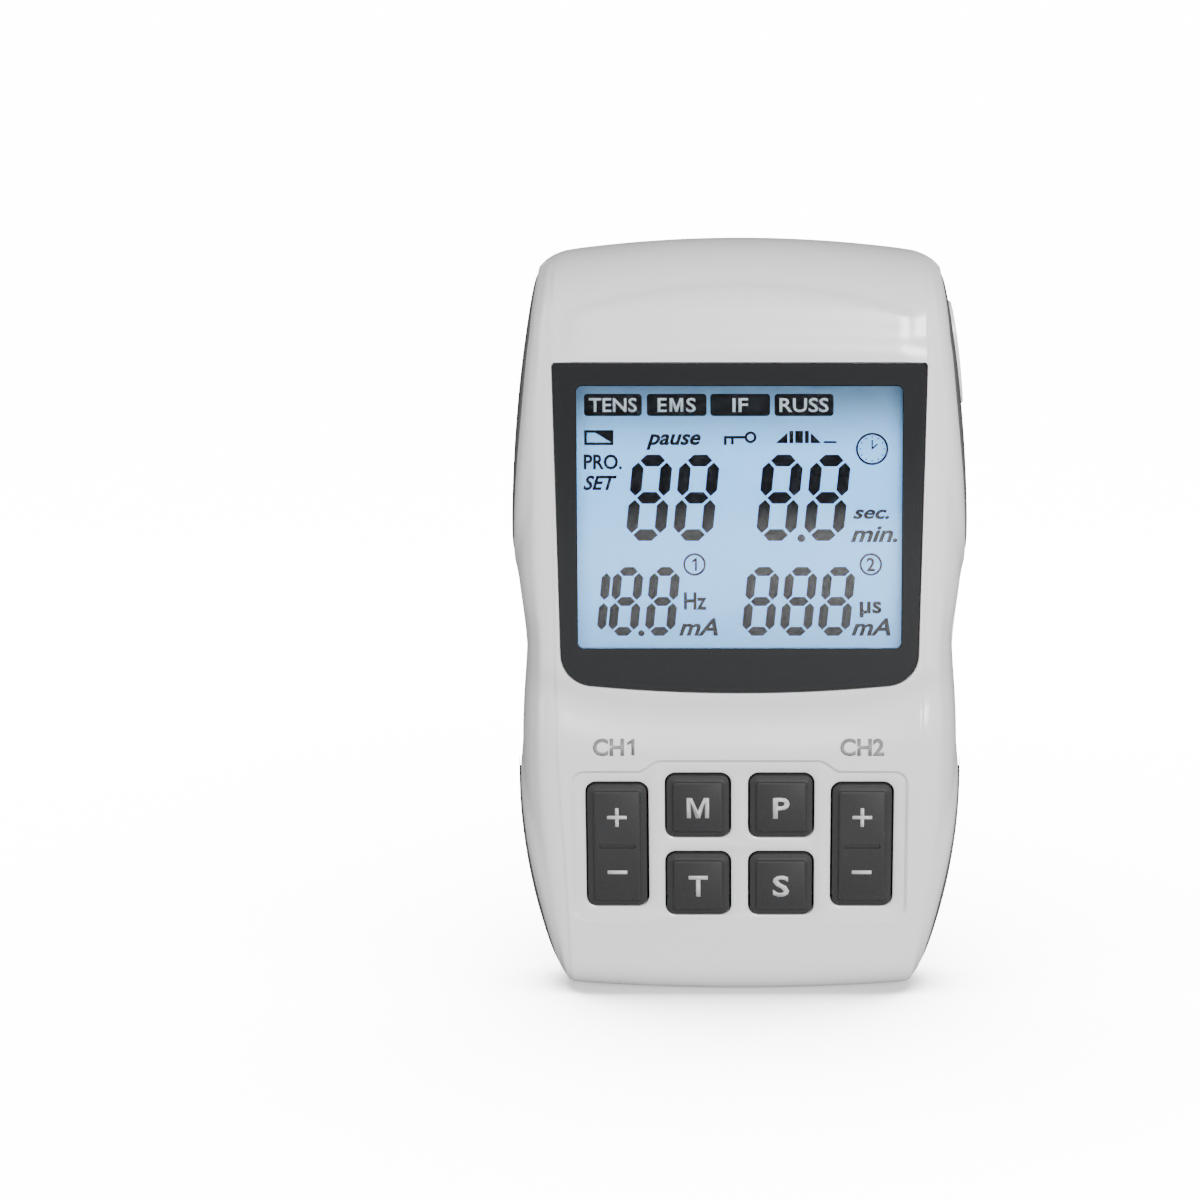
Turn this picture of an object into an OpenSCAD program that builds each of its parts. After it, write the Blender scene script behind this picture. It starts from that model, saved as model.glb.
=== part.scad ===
// Handheld nerve and muscle stimulator: two-shell body, tilted screen, six keys,
// side power button, rubber grips, lead sockets and a sprung belt clip.
// +Z runs up the body, the screen faces -Y, and +X is the power button's side.
// The origin is the centre of the standing foot: z = 0 is the lowest point.

/* [Body] */
// Height of the body
body_h = 120; // [110:1:135]
// Half width across the upper pods
upper_w = 35.6; // [34.5:0.1:42]
// Half width across the lower pods
lower_w = 35; // [34:0.1:41]
// Half width at the waist between the pods
waist_w = 33.8; // [33:0.1:38]
// Half width at the top edge
top_w = 30.4; // [29.5:0.1:33]
// Half width at the bottom edge
bottom_w = 27.4; // [27:0.1:31]
// Radius of the rounded top end, seen from the side
top_r = 13.3; // [12.8:0.1:15]
// How far the centre of the top end lies behind the parting plane
top_y = 4.25; // [3.8:0.05:5]
// Radius of the rear edge at the bottom
heel_r = 7.8; // [7:0.1:9]
// Radius of the front edge at the bottom
chin_r = 5.5; // [4:0.1:6]
// How far the centre of the heel lies behind the parting plane
heel_y = 1.81; // [1.6:0.01:2.1]
// Wall thickness of both shells
wall = 2.2; // [1.8:0.1:2.6]

/* [Screen] */
// Lean of the screen, in degrees
screen_tilt = 2.5; // [1.5:0.1:3.5]
// Distance from the top of the body down to the lens
screen_drop = 18.3; // [17:0.1:21]
// Height of the lens
lens_h = 51.3; // [48:0.1:52]
// Half width of the lens at its top edge
lens_w = 29.2; // [28:0.1:29.3]
// How much narrower each side of the lens is at its bottom corner
lens_taper = 1.4; // [0.5:0.1:2]
// Radius of the lens's lower corners
lens_corner = 5; // [3:0.1:6]
// Drop of the lens's lower edge from its corners to its middle
lens_sag = 1.6; // [0.5:0.1:2.5]
// Thickness of the lens
lens_t = 1.2; // [1:0.1:1.4]
// Thickness of the adhesive frame behind the lens
tape_t = 0.25; // [0.15:0.05:0.35]
// Width of the display's clear window
window_w = 50.4; // [44:0.1:51]
// Height of the display's clear window
window_h = 40.9; // [36:0.1:42]
// Distance from the lens's top edge to the window
window_drop = 3.4; // [2.5:0.1:4.5]

/* [Keys] */
// Lean of the keypad, in degrees
keypad_tilt = 5.7; // [5:0.1:6.5]
// Width of a square key
key_w = 9.8; // [8.5:0.1:10.4]
// Height of a square key
key_h = 10.2; // [8.5:0.1:10.6]
// Distance between the middles of neighbouring square keys
key_pitch = 13.1; // [12.6:0.1:13.6]
// Height of the middle of the keypad
keypad_z = 25.5; // [24.5:0.1:26]
// Width of a rocker key
rocker_w = 9.3; // [8:0.1:9.8]
// Height of a rocker key
rocker_h = 20.3; // [18:0.1:21]
// Distance from the centre line to the middle of a rocker
rocker_x = 19.3; // [18.9:0.1:20]
// How far the keys stand proud of their recess
key_proud = 1; // [0.6:0.1:1.4]
// Travel of a square key
key_travel = 0.8; // [0.5:0.05:0.9]
// Swing of a rocker each way, in degrees
rocker_swing = 3; // [2:0.1:3.2]
// Gap round each key in the shell
key_gap = 0.3; // [0.25:0.05:0.4]
// Depth of the recess round the keys
recess_d = 0.5; // [0.3:0.05:0.7]

/* [Power button and grips] */
// Radius of the power button's round end
button_r = 4.7; // [4:0.1:5]
// Length of the power button
button_l = 16.1; // [14:0.1:17]
// How far the power button stands proud of its grip
button_proud = 0.8; // [0.6:0.1:1]
// Travel of the power button
button_travel = 0.6; // [0.4:0.05:0.6]
// Thickness of the rubber grips
grip_t = 1.2; // [1:0.05:1.3]

/* [Battery] */
// Width of the battery pack
battery_w = 42; // [36:0.5:43]
// Height of the battery pack
battery_h = 31; // [26:0.5:31.5]
// Thickness of the battery pack
battery_t = 5; // [4:0.1:5.2]
// Thickness of the battery door
door_t = 1.5; // [1.2:0.1:1.7]

/* [Sockets] */
// Bore radius of a lead socket
jack_r = 1.8; // [1.2:0.05:2]
// Depth of a lead socket's bore
jack_l = 10; // [8:0.5:11]
// Distance from the centre line to each lead socket
jack_x = 12; // [9:0.5:14]
// Width of the charging socket's opening
charge_w = 7.6; // [7:0.1:8.5]
// Thickness of the charging socket's opening
charge_t = 2.8; // [2.6:0.1:3.2]

/* [Belt clip] */
// Width of the belt clip's base
clip_w = 20; // [16:0.5:24]
// Thickness of the clip arm
arm_t = 1.5; // [1.2:0.1:1.8]
// Clear gap between the back and the clip arm
belt_gap = 4.6; // [4.5:0.1:5.5]
// Distance from the top of the body down to the clip's pivot
clip_drop = 24; // [23:0.5:26]
// Radius of the clip's hinge pin
pin_r = 1; // [0.8:0.05:1.1]
// Length of the clip arm below the pivot
arm_l = 49; // [44:0.5:51]
// Opening swing of the clip, in degrees
clip_swing = 12; // [8:1:12]

/* [Hidden] */
$fn = 48;

// General clearances
fit_gap = 0.05;
loose_gap = 0.3;
pin_gap = 0.05;
far = 60;

// Body outline seen from the front: heights of the widest and narrowest places
lower_z = 0.317 * body_h;
waist_z = 0.45 * body_h;
upper_z = 0.597 * body_h;
band_h = body_h / 20;
crown_r = 1.41 * body_h;
sole_r = 2.5 * body_h;
top_corner_r = 5;
bottom_corner_r = 3.2;
// Centres of the barrels that round the long edges of each shell
front_x0 = waist_w - 17.6;
rear_x0 = waist_w - 20;

// Side outline: centres of the end radii and the two tilted front planes
top_z = body_h - top_r;
// The flat back touches the top end's circle and the heel's circle
end_drop = top_z - heel_r;
end_step = top_y - heel_y;
back_tilt = atan(end_step / end_drop) + asin((top_r - heel_r) / norm([end_drop, end_step]));
back_y0 = (heel_y * cos(back_tilt) - heel_r * sin(back_tilt) + heel_r) / cos(back_tilt);
keypad_y = -11.13;
screen_y = -12.4;
lens_top = body_h - screen_drop;
screen_z = lens_top - lens_h;
chin_y = keypad_y + (keypad_z - chin_r) * tan(keypad_tilt) + chin_r / cos(keypad_tilt);
valley_y = -11.5;
valley_low = screen_z - 4.9;
valley_high = screen_z - 2.9;
keypad_top = screen_z - 9.4;
panel_margin = 0.6;

// The body's middle between its front and the back of the clip lies on y = 0
base_t = 2.6;
toe_flare = 1.1;
pivot_z = body_h - clip_drop;
clip_outer = belt_gap + arm_t;
clip_top_y = back_y0 + clip_outer * cos(back_tilt) + (pivot_z + 6.5) * sin(back_tilt);
front_reach = key_proud - recess_d - keypad_at(keypad_z + (key_pitch + key_h) / 2);
mid_y = (clip_top_y - front_reach) / 2;

// Stack behind the lens, measured inwards from the screen plane
ledge_y = lens_t + tape_t + fit_gap;
glass_y = wall + 0.75;
glass_t = 1.8;
light_t = 2.2;
glass_margin = 0.8;
frame_wall = 0.9;
frame_y1 = glass_y + glass_t + light_t + 0.7;

// Boards
board_t = 1.6;
board_y = -1.9;
board_back = board_y + board_t;
board_z0 = 4.5;
board_w = 25.5;
board_top = top_z - 1.2;

// Stack behind the keypad, measured inwards from the recess floor
flange = 0.8;
flange_y0 = wall + 0.35;
flange_t = 0.7;
key_corner = 1.4;
rocker_flange_y0 = wall + 0.95;
mat_y0 = 4.9;
mat_t = 0.6;
mat_bump = 0.3;
key_board_y0 = mat_y0 + mat_t + fit_gap;
key_board_t = 1.1;
key_z = [keypad_z + key_pitch / 2, keypad_z - key_pitch / 2];

// Battery, door and compartment
tray_wall = 1;
battery_y0 = 1.6;
battery_z0 = 8.8;
door_top = battery_z0 + battery_h + 3.2;
door_w = battery_w + 3;
door_gap = 0.2;

// Screws, and where the housing screws and board screws stand: x and z
screw_r = 1.05;
screw_tip = -5.8;
screw_head_r = 2;
boss_r = 2.4;
post_r = screw_head_r + loose_gap + 0.9;
high_screw_x = top_w - 9.4;
high_screw_z = top_z - 0.5;
low_screw_x = battery_w / 2 + 5.2;
low_screw_z = 12.5;
housing_screw_at = [
    [high_screw_x, high_screw_z], [-high_screw_x, high_screw_z],
    [low_screw_x, low_screw_z], [-low_screw_x, low_screw_z]];
board_screw_x = 23.2;
board_screw_z = (door_top + screen_z) / 2 + 0.9;
board_screw_at = [[board_screw_x, board_screw_z], [-board_screw_x, board_screw_z]];
clip_screw_x = 3.6;

// Button and upper grip, seen from the side: y and z
button_y = 3.65;
button_z = top_z - 1.5;
button_tip = button_l - button_r;
plunger_r = 1.6;
button_flange = 0.8;

// Lead sockets lie on a line through the centre of the top end
// Grips keep this much inside their outline, so that tips stay blunt
grip_trim = 0.2;
jack_lean = 27;
jack_body_r = 3.4;

// Shared curves -------------------------------------------------------------

function smooth(t) = t * t * (3 - 2 * t);
function blend(z, z0, w0, z1, w1) = w0 + (w1 - w0) * smooth((z - z0) / (z1 - z0));

// Half width of the body at height z
function half_w(z) =
    z < lower_z ? lower_w - (lower_w - bottom_w) * pow(1 - max(z, 0) / lower_z, 2.2)
    : z < waist_z ? blend(z, lower_z, lower_w, waist_z, waist_w)
    : z < upper_z ? blend(z, waist_z, waist_w, upper_z, upper_w)
    : upper_w - (upper_w - top_w) * pow((min(z, body_h) - upper_z) / (body_h - upper_z), 2);

function arc(c, r, a0, a1, n) =
    [for (i = [0:n]) let (a = a0 + (a1 - a0) * i / n) c + r * [cos(a), sin(a)]];

// y of the screen and keypad planes at height z
function screen_at(z) = screen_y + (z - screen_z) * tan(screen_tilt);
function keypad_at(z) = keypad_y - (z - keypad_z) * tan(keypad_tilt);

// Side outline of the body in y and z, drawn in by inset
function side_outline(inset) = concat(
    arc([top_y, top_z], top_r - inset, 176, -back_tilt, 14),
    arc([heel_y, heel_r], heel_r - inset, -back_tilt, -90, 6),
    arc([chin_y, chin_r], chin_r - inset, -90, -180 + keypad_tilt, 5),
    [
        [keypad_at(keypad_top) + inset, keypad_top],
        [valley_y + inset, valley_low],
        [valley_y + inset, valley_high],
        [screen_at(screen_z - panel_margin) + inset, screen_z - panel_margin],
        [screen_at(lens_top + panel_margin) + inset, lens_top + panel_margin]
    ]);

// Right half of the front outline in x and z: crowned top and sole with round corners
function crown_half(inset) =
    let (
        cx = top_w - 3.2, sx = bottom_w - 1.5,
        cz = body_h - crown_r + sqrt(crown_r * crown_r - cx * cx) - top_corner_r,
        sz = sole_r - sqrt(sole_r * sole_r - sx * sx) + bottom_corner_r,
        top_a = asin(cx / crown_r), low_a = asin(sx / sole_r)
    )
    concat(
        arc([0, sole_r], sole_r - inset, -90, -90 + low_a, 4),
        arc([sx, sz], bottom_corner_r - inset, -90 + low_a, 0, 4),
        [[far, sz], [far, cz]],
        arc([cx, cz], top_corner_r - inset, 0, 90 - top_a, 6),
        arc([0, body_h - crown_r], crown_r - inset, 90 - top_a, 90, 5));

function mirrored(points) = [for (i = [len(points) - 1:-1:0]) [-points[i][0], points[i][1]]];

// Teardrop of a round end and a straight-sided point, along +z when up is 1
function teardrop(c, r, tip, n) =
    let (a = acos(r / norm(tip - c)), base = atan2(tip[1] - c[1], tip[0] - c[0]))
    concat([tip], arc(c, r, base + a, base + 360 - a, n));

// Shared bodies -------------------------------------------------------------

module placed() translate([0, -mid_y, 0]) children();

// Extrudes an outline drawn in y and z along x
module along_x(x0, x1) translate([x0, 0, 0]) rotate([90, 0, 90]) linear_extrude(x1 - x0) children();

// Extrudes an outline drawn in x and z along y
module along_y(y0, y1) translate([0, y1, 0]) rotate([90, 0, 0]) linear_extrude(y1 - y0) children();

module on_screen() translate([0, screen_y, screen_z]) rotate([-screen_tilt, 0, 0]) children();
module on_keypad() translate([0, keypad_y, keypad_z]) rotate([keypad_tilt, 0, 0])
    translate([0, recess_d, 0]) children();
module on_back() translate([0, back_y0, 0]) rotate([-back_tilt, 0, 0]) children();
module on_top(x) translate([x, top_y, top_z]) rotate([-jack_lean, 0, 0]) children();

module both_sides() {
    children();
    mirror([1, 0, 0]) children();
}

module cylinder_y(r, y0, y1) translate([0, y0, 0]) rotate([-90, 0, 0]) cylinder(r = r, h = y1 - y0);
module cylinder_x(r, x0, x1) translate([x0, 0, 0]) rotate([0, 90, 0]) cylinder(r = r, h = x1 - x0);

module block(x0, x1, y0, y1, z0, z1) translate([x0, y0, z0]) cube([x1 - x0, y1 - y0, z1 - z0]);

module round_rect(w, h, r) polygon(concat(
    arc([w / 2 - r, h / 2 - r], r, 0, 90, 5),
    arc([-w / 2 + r, h / 2 - r], r, 90, 180, 5),
    arc([-w / 2 + r, -h / 2 + r], r, 180, 270, 5),
    arc([w / 2 - r, -h / 2 + r], r, 270, 360, 5)));

module barrel(x0, inset) translate([x0, 0, 0]) rotate_extrude($fn = 96) polygon(concat(
    [[0, -1]],
    [for (i = [0:20]) [
        half_w(i * band_h) - x0 - inset,
        i == 0 ? -1 : i == 20 ? body_h + 1 : i * band_h
    ]],
    [[0, body_h + 1]]));

module crown_prism(inset) along_y(-far, far) polygon(concat(crown_half(inset), mirrored(crown_half(inset))));

// One shell's outer form, or its cavity when inset by the wall
module half_form(x0, y0, y1, inset) intersection() {
    along_x(-far, far) polygon(side_outline(inset));
    crown_prism(inset);
    block(-far, far, y0, y1, -1, body_h + 1);
    union() {
        block(-x0, x0, -far, far, -1, body_h + 1);
        both_sides() barrel(x0, inset);
    }
}

module front_form(inset) half_form(front_x0, -far, 0, inset);
module rear_form(inset) half_form(rear_x0, 0, far, inset);

// Skin of the right-hand side between two depths, for grips and their pockets
module side_skin(x0, y0, y1, outer, inner) intersection() {
    block(upper_w / 2, far, y0, y1, -1, body_h + 1);
    difference() {
        intersection() {
            barrel(x0, outer);
            crown_prism(outer);
        }
        intersection() {
            barrel(x0, inner);
            crown_prism(inner);
        }
    }
}

// Half width of a grip, from 0 at its pointed tip (t = 0) through 1 to its round end (t = 1)
function leaf(t, widest, sharp, full) =
    t < widest ? pow(1 - pow(1 - t / widest, sharp), full)
    : sqrt(1 - pow((t - widest) / (1 - widest), 2.4));

// Leaf-shaped outline in y and z from a pointed tip to a round end, grown by grow
module leaf_outline(tip, end, half, widest, sharp, full, grow) {
    steps = [for (i = [0:13]) (1 - cos(180 * i / 13)) / 2];
    up = sign(end[1] - tip[1]);
    z = function(t) tip[1] + (end[1] - tip[1]) * t + up * grow * (2 * t - 1);
    y = function(t) tip[0] + (end[0] - tip[0]) * pow(t, 0.8);
    w = function(t) half * leaf(t, widest, sharp, full) + grow;
    polygon(concat(
        [for (t = steps) [y(t) + w(t), z(t)]],
        [for (i = [13:-1:0]) let (t = steps[i]) [y(t) - w(t), z(t)]]));
}

module upper_grip_outline(grow)
    leaf_outline([0.2, upper_z - 0.7], [4.1, body_h - 5.3], 9.4, 0.7, 2, 0.6, grow + grip_trim);

module lower_grip_outline(grow)
    leaf_outline([-0.8, lower_z - 2.1], [0.8, 2.6], 6.2, 0.68, 2, 0.8, grow + grip_trim);

module button_outline(grow) polygon(teardrop(
    [button_y, button_z], button_r + grow, [button_y - 0.6, button_z - button_tip - grow], 18));

// Lens outline in x and z from its bottom middle, grown by grow
function lens_side(z) = lens_w - lens_taper * (1 - z / lens_h);
module lens_outline(grow) {
    low_x = lens_side(lens_sag + lens_corner) - lens_corner;
    low_r = (low_x * low_x + lens_sag * lens_sag) / (2 * lens_sag);
    low_a = asin(low_x / low_r);
    half = concat(
        arc([0, low_r], low_r + grow, -90, -90 + low_a, 5),
        arc([low_x, lens_sag + lens_corner], lens_corner + grow, -90 + low_a, 0, 6),
        [[lens_w + grow, lens_h + grow]]);
    polygon(concat(half, mirrored(half)));
}

module window_outline(grow)
    translate([0, lens_h - window_drop - window_h / 2])
        round_rect(window_w + 2 * grow, window_h + 2 * grow, 0.9);

// Outline of the stepped recess round the keys, from the middle of the keypad
recess_x = rocker_x + rocker_w / 2 + 2.1;
recess_low = rocker_h / 2 + 2.2;
recess_side = rocker_h / 2 + 1.8;
recess_high = key_pitch / 2 + key_h / 2 + 2.1;
recess_step = rocker_x - rocker_w / 2 - 2.2;
module recess_outline() polygon([
    [-recess_x, -recess_low], [recess_x, -recess_low], [recess_x, recess_side],
    [recess_step + 3, recess_side], [recess_step, recess_high], [-recess_step, recess_high],
    [-recess_step - 3, recess_side], [-recess_x, recess_side]]);

module at_square_keys() for (x = [-1, 1], z = [-1, 1])
    translate([x * key_pitch / 2, 0, z * key_pitch / 2]) children();
module at_rockers() for (x = [-1, 1]) translate([x * rocker_x, 0, 0]) children();

// Housing -------------------------------------------------------------------

module grip_pockets(x0, y0, y1) both_sides() {
    intersection() {
        along_x(0, far) upper_grip_outline(fit_gap);
        side_skin(x0, y0, y1, -1, grip_t + fit_gap);
    }
    intersection() {
        along_x(0, far) lower_grip_outline(fit_gap);
        side_skin(x0, y0, y1, -1, grip_t + fit_gap);
    }
}

module button_shaft(grow) along_x(button_root - 0.6, far) button_outline(grow);

module front_bosses() difference() {
    intersection() {
        front_form(wall / 2);
        for (at = concat(housing_screw_at, board_screw_at)) translate([at[0], 0, at[1]])
            cylinder_y(boss_r, -far, board_y - fit_gap);
    }
    for (at = concat(housing_screw_at, board_screw_at)) translate([at[0], 0, at[1]])
        cylinder_y(screw_r + fit_gap, screw_tip - loose_gap, 1);
}

module front_housing() color("whitesmoke") placed() {
    difference() {
        front_form(0);
        front_form(wall);
        grip_pockets(front_x0, -far, 0);
        on_screen() {
            along_y(-1, ledge_y) lens_outline(fit_gap);
            along_y(0, 9) window_outline(glass_margin);
        }
        on_keypad() {
            along_y(-4, 0) recess_outline();
            at_square_keys() along_y(-1, 7)
                round_rect(key_w + 2 * key_gap, key_h + 2 * key_gap, key_corner + key_gap);
            at_rockers() along_y(-1, 7)
                round_rect(rocker_w + 2 * key_gap, rocker_h + 2 * key_gap, key_corner + key_gap);
        }
        button_shaft(loose_gap);
        charge_slot(fit_gap);
    }
    front_bosses();
}

module charge_slot(grow) block(-charge_w / 2 - grow, charge_w / 2 + grow,
    board_back - grow, board_back + charge_t + grow, -1, wall + 3);

module door_outline(grow) translate([0, -1]) polygon(concat(
    [[-door_w / 2 - grow, -4], [door_w / 2 + grow, -4]],
    arc([door_w / 2 - 3, door_top - 2], 3 + grow, 0, 90, 4),
    arc([-door_w / 2 + 3, door_top - 2], 3 + grow, 90, 180, 4)));

module rear_screw_posts() for (at = housing_screw_at) translate([at[0], 0, at[1]])
    cylinder_y(post_r, board_back + fit_gap, far);

module rear_housing() color("whitesmoke") placed() difference() {
    union() {
        difference() {
            rear_form(0);
            rear_form(wall);
        }
        intersection() {
            rear_form(1);
            union() {
                rear_screw_posts();
                block(-door_w / 2 - tray_wall, door_w / 2 + tray_wall, 0.15, far,
                    battery_z0 - loose_gap - tray_wall, door_top + tray_wall);
            }
        }
    }
    grip_pockets(rear_x0, 0, far);
    button_shaft(loose_gap);
    charge_slot(fit_gap);
    // Battery compartment, the seat of the door, and the lip under its top edge
    block(-battery_w / 2 - loose_gap, battery_w / 2 + loose_gap, battery_y0 - loose_gap, far,
        battery_z0 - loose_gap, battery_z0 + battery_h + loose_gap);
    contact_blades(fit_gap);
    on_back() along_y(-door_t - door_gap, 4) door_outline(door_gap);
    for (x = [-jack_x, jack_x]) on_top(x) cylinder(r = jack_body_r + fit_gap, h = top_r + 2);
    for (at = housing_screw_at) translate([at[0], 0, at[1]]) {
        cylinder_y(screw_r + loose_gap, -1, far);
        cylinder_y(screw_head_r + loose_gap, screw_seat(at[1]), far);
    }
    for (x = [-clip_screw_x, clip_screw_x]) on_back() translate([x, 0, clip_screw_z])
        cylinder_y(screw_r, -far / 10, 1);
}

// y where the head of a housing screw seats, at height z
function screw_seat(z) = z > body_h / 2 ? 9.5 : 6.2;

module housing_screws() color("silver") placed() for (at = housing_screw_at) translate([at[0], 0, at[1]]) {
    cylinder_y(screw_r, screw_tip, screw_seat(at[1]) + 0.2);
    difference() {
        cylinder_y(screw_head_r, screw_seat(at[1]), screw_seat(at[1]) + 1.4);
        cross_slot(screw_seat(at[1]) + 0.7, screw_seat(at[1]) + 2, screw_head_r);
    }
}

module cross_slot(y0, y1, reach) {
    block(-reach * 0.7, reach * 0.7, y0, y1, -0.3, 0.3);
    block(-0.3, 0.3, y0, y1, -reach * 0.7, reach * 0.7);
}

// Grips ---------------------------------------------------------------------

module grip_skin() {
    side_skin(front_x0, -far, 0, 0, grip_t);
    side_skin(rear_x0, 0, far, 0, grip_t);
}

module upper_grip() intersection() {
    along_x(0, far) upper_grip_outline(0);
    grip_skin();
}

module lower_grip() intersection() {
    along_x(0, far) lower_grip_outline(0);
    grip_skin();
}

module upper_grip_right() color("dimgray") placed() difference() {
    upper_grip();
    button_shaft(loose_gap);
}
module upper_grip_left() color("dimgray") placed() mirror([1, 0, 0]) upper_grip();
module lower_grip_right() color("dimgray") placed() lower_grip();
module lower_grip_left() color("dimgray") placed() mirror([1, 0, 0]) lower_grip();

// Screen --------------------------------------------------------------------

module display_lens() color("black") placed() on_screen() along_y(0, lens_t) lens_outline(0);

module lens_tape() color("darkslategray") placed() on_screen() difference() {
    along_y(lens_t, lens_t + tape_t) lens_outline(-0.3);
    along_y(0, lens_t + 1) window_outline(glass_margin);
}

module lcd_glass() color("lightblue") placed() on_screen()
    along_y(glass_y, glass_y + glass_t) window_outline(glass_margin + 1);

module backlight_panel() color("aliceblue") placed() on_screen()
    along_y(glass_y + glass_t + fit_gap, glass_y + glass_t + light_t) window_outline(glass_margin + 1);

module lcd_frame() color("ivory") placed() on_screen() difference() {
    along_y(wall + 0.1, frame_y1) window_outline(glass_margin + 1 + frame_wall);
    along_y(glass_y - fit_gap, glass_y + glass_t + light_t + fit_gap)
        window_outline(glass_margin + 1 + fit_gap);
    along_y(0, glass_y) window_outline(glass_margin);
    along_y(glass_y, far) window_outline(-3);
}

// The rubber connector fills the gap between the frame and the board below the window
connector_h = 2;
connector_z = lens_h - window_drop - window_h;
connector_t = board_y - 4 * fit_gap - screen_at(screen_z + connector_z + connector_h) - frame_y1;

module lcd_connector() color("pink") placed() on_screen()
    translate([0, frame_y1 + fit_gap, connector_z])
        block(-window_w / 2, window_w / 2, 0, connector_t - fit_gap, 0, connector_h);

// Boards --------------------------------------------------------------------

module main_board() color("darkgreen") placed() difference() {
    block(-board_w, board_w, board_y, board_back, board_z0, board_top);
    for (at = board_screw_at) translate([at[0], 0, at[1]]) cylinder_y(screw_r + fit_gap, -far, far);
    for (at = housing_screw_at) translate([at[0], 0, at[1]]) cylinder_y(boss_r + loose_gap, -far, far);
}

module board_screws() color("silver") placed() for (at = board_screw_at) translate([at[0], 0, at[1]]) {
    cylinder_y(screw_r, screw_tip, board_back);
    difference() {
        cylinder_y(screw_head_r, board_back, board_back + 1.1);
        cross_slot(board_back + 0.5, board_back + 2, screw_head_r);
    }
}

// Middle height of the microcontroller, which the other parts on the back of the board stand round
chip_z = screen_z + 9.6;
chip_half = 6;
pin_half = 0.2;

module on_board(x, z) translate([x, board_back, z]) children();

module microcontroller() color("darkslategray") placed() on_board(0, chip_z) {
    block(-chip_half, chip_half, 0, 1.5, -chip_half, chip_half);
    for (i = [-5:5], s = [-1, 1]) translate([i, 0, s * (chip_half + 0.5)])
        block(-pin_half, pin_half, 0, 0.4, -0.5, 0.5);
}

module board_parts() color("sienna") placed() {
    for (i = [0:5]) on_board(-19.2 + 2.6 * i, chip_z - 11.5) block(-0.8, 0.8, 0, 0.7, -0.5, 0.5);
    for (i = [0:4]) on_board(9.8 + 2.6 * i, chip_z - 8.5) block(-0.8, 0.8, 0, 0.7, -0.5, 0.5);
    for (x = [-20, 20]) on_board(x, chip_z - 3) cylinder_y(2.5, 0, 5);
    for (x = [-13.5, 13.5]) on_board(x, chip_z + 2) block(-2.5, 2.5, 0, 1.2, -2, 2);
}

module output_transformers() color("goldenrod") placed() for (x = [-14, 14])
    on_board(x, chip_z + 16) block(-5.5, 5.5, 0, 8.5, -6, 6);

module buzzer() color("black") placed() on_board(0, chip_z + 16) difference() {
    cylinder_y(6, 0, 5);
    cylinder_y(1, 4, 6);
}

module key_board() color("darkgreen") placed() on_keypad() difference() {
    block(-recess_x + 1.6, recess_x - 1.6, key_board_y0, key_board_y0 + key_board_t,
        -recess_side + 1.2, recess_side - 0.6);
    for (x = [-1, 1]) translate([x * low_screw_x, 0, low_screw_z - keypad_z])
        cylinder_y(boss_r + loose_gap, -far, far);
}

module board_header() color("black") placed() {
    header_z = keypad_z + recess_side - 3.4;
    header_y = keypad_at(header_z) + key_board_y0 + key_board_t + recess_d + 0.25;
    block(-6, 6, header_y, board_y, header_z, header_z + 2.2);
}

module key_mat() color("gray") placed() on_keypad() {
    block(-recess_x + 2, recess_x - 2, mat_y0, mat_y0 + mat_t, -recess_side + 1.6, recess_side - 1);
    at_square_keys() cylinder_y(2, mat_y0 - mat_bump, mat_y0);
    at_rockers() for (z = [-1, 1]) translate([0, 0, z * rocker_h / 4])
        cylinder_y(2, mat_y0 - mat_bump / 2, mat_y0);
}

// Keys ----------------------------------------------------------------------

module keycap(w, h, flange_from) {
    along_y(-key_proud, flange_from + 0.1) round_rect(w, h, key_corner);
    along_y(flange_from, flange_from + flange_t)
        round_rect(w + 2 * flange, h + 2 * flange, key_corner + flange);
}

module square_key(ix, iz) color("dimgray") placed() on_keypad()
    translate([ix * key_pitch / 2, 0, iz * key_pitch / 2]) keycap(key_w, key_h, flange_y0);

module mode_key() square_key(-1, 1);
module program_key() square_key(1, 1);
module time_key() square_key(-1, -1);
module set_key() square_key(1, -1);

module rocker(side) color("dimgray") placed() on_keypad()
    translate([side * rocker_x, 0, 0]) keycap(rocker_w, rocker_h, rocker_flange_y0);

module rocker_ch1() rocker(-1);
module rocker_ch2() rocker(1);

// Power button --------------------------------------------------------------

button_root = half_w(button_z) - wall - 1.9;
switch_t = 1.6;
switch_x = button_root - button_travel - 0.1 - switch_t;

module power_button() color("white") placed() {
    intersection() {
        along_x(button_root + 0.8, far) button_outline(0);
        rear_or_front(-button_proud);
    }
    intersection() {
        along_x(button_root, button_root + 0.8) button_outline(button_flange);
        rear_or_front(wall + 0.9);
    }
}

module rear_or_front(inset) {
    intersection() { block(0, far, -far, 0, 0, body_h); barrel(front_x0, inset); }
    intersection() { block(0, far, 0, far, 0, body_h); barrel(rear_x0, inset); }
}

module power_switch() color("lightgray") placed() translate([0, button_y, button_z])
    block(switch_x, switch_x + switch_t, -2.2, 2.2, -2.2, 2.2);

module power_board() color("darkgreen") placed() translate([0, button_y, button_z])
    block(switch_x - 1, switch_x, -3.4, 5, -6, 3.2);

// Sockets -------------------------------------------------------------------

module output_socket(x) color("black") placed() on_top(x) difference() {
    cylinder(r = jack_body_r, h = top_r - 0.45);
    translate([0, 0, top_r - 0.45 - jack_l]) cylinder(r = jack_r, h = jack_l + 1);
}
module output_socket_1() output_socket(-jack_x);
module output_socket_2() output_socket(jack_x);

module socket_contacts() color("gold") placed() for (x = [-jack_x, jack_x], s = [-1, 1]) on_top(x)
    translate([s * 1.6, 0, 0]) block(-0.2, 0.2, -1, 1, -3, 0);

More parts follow.
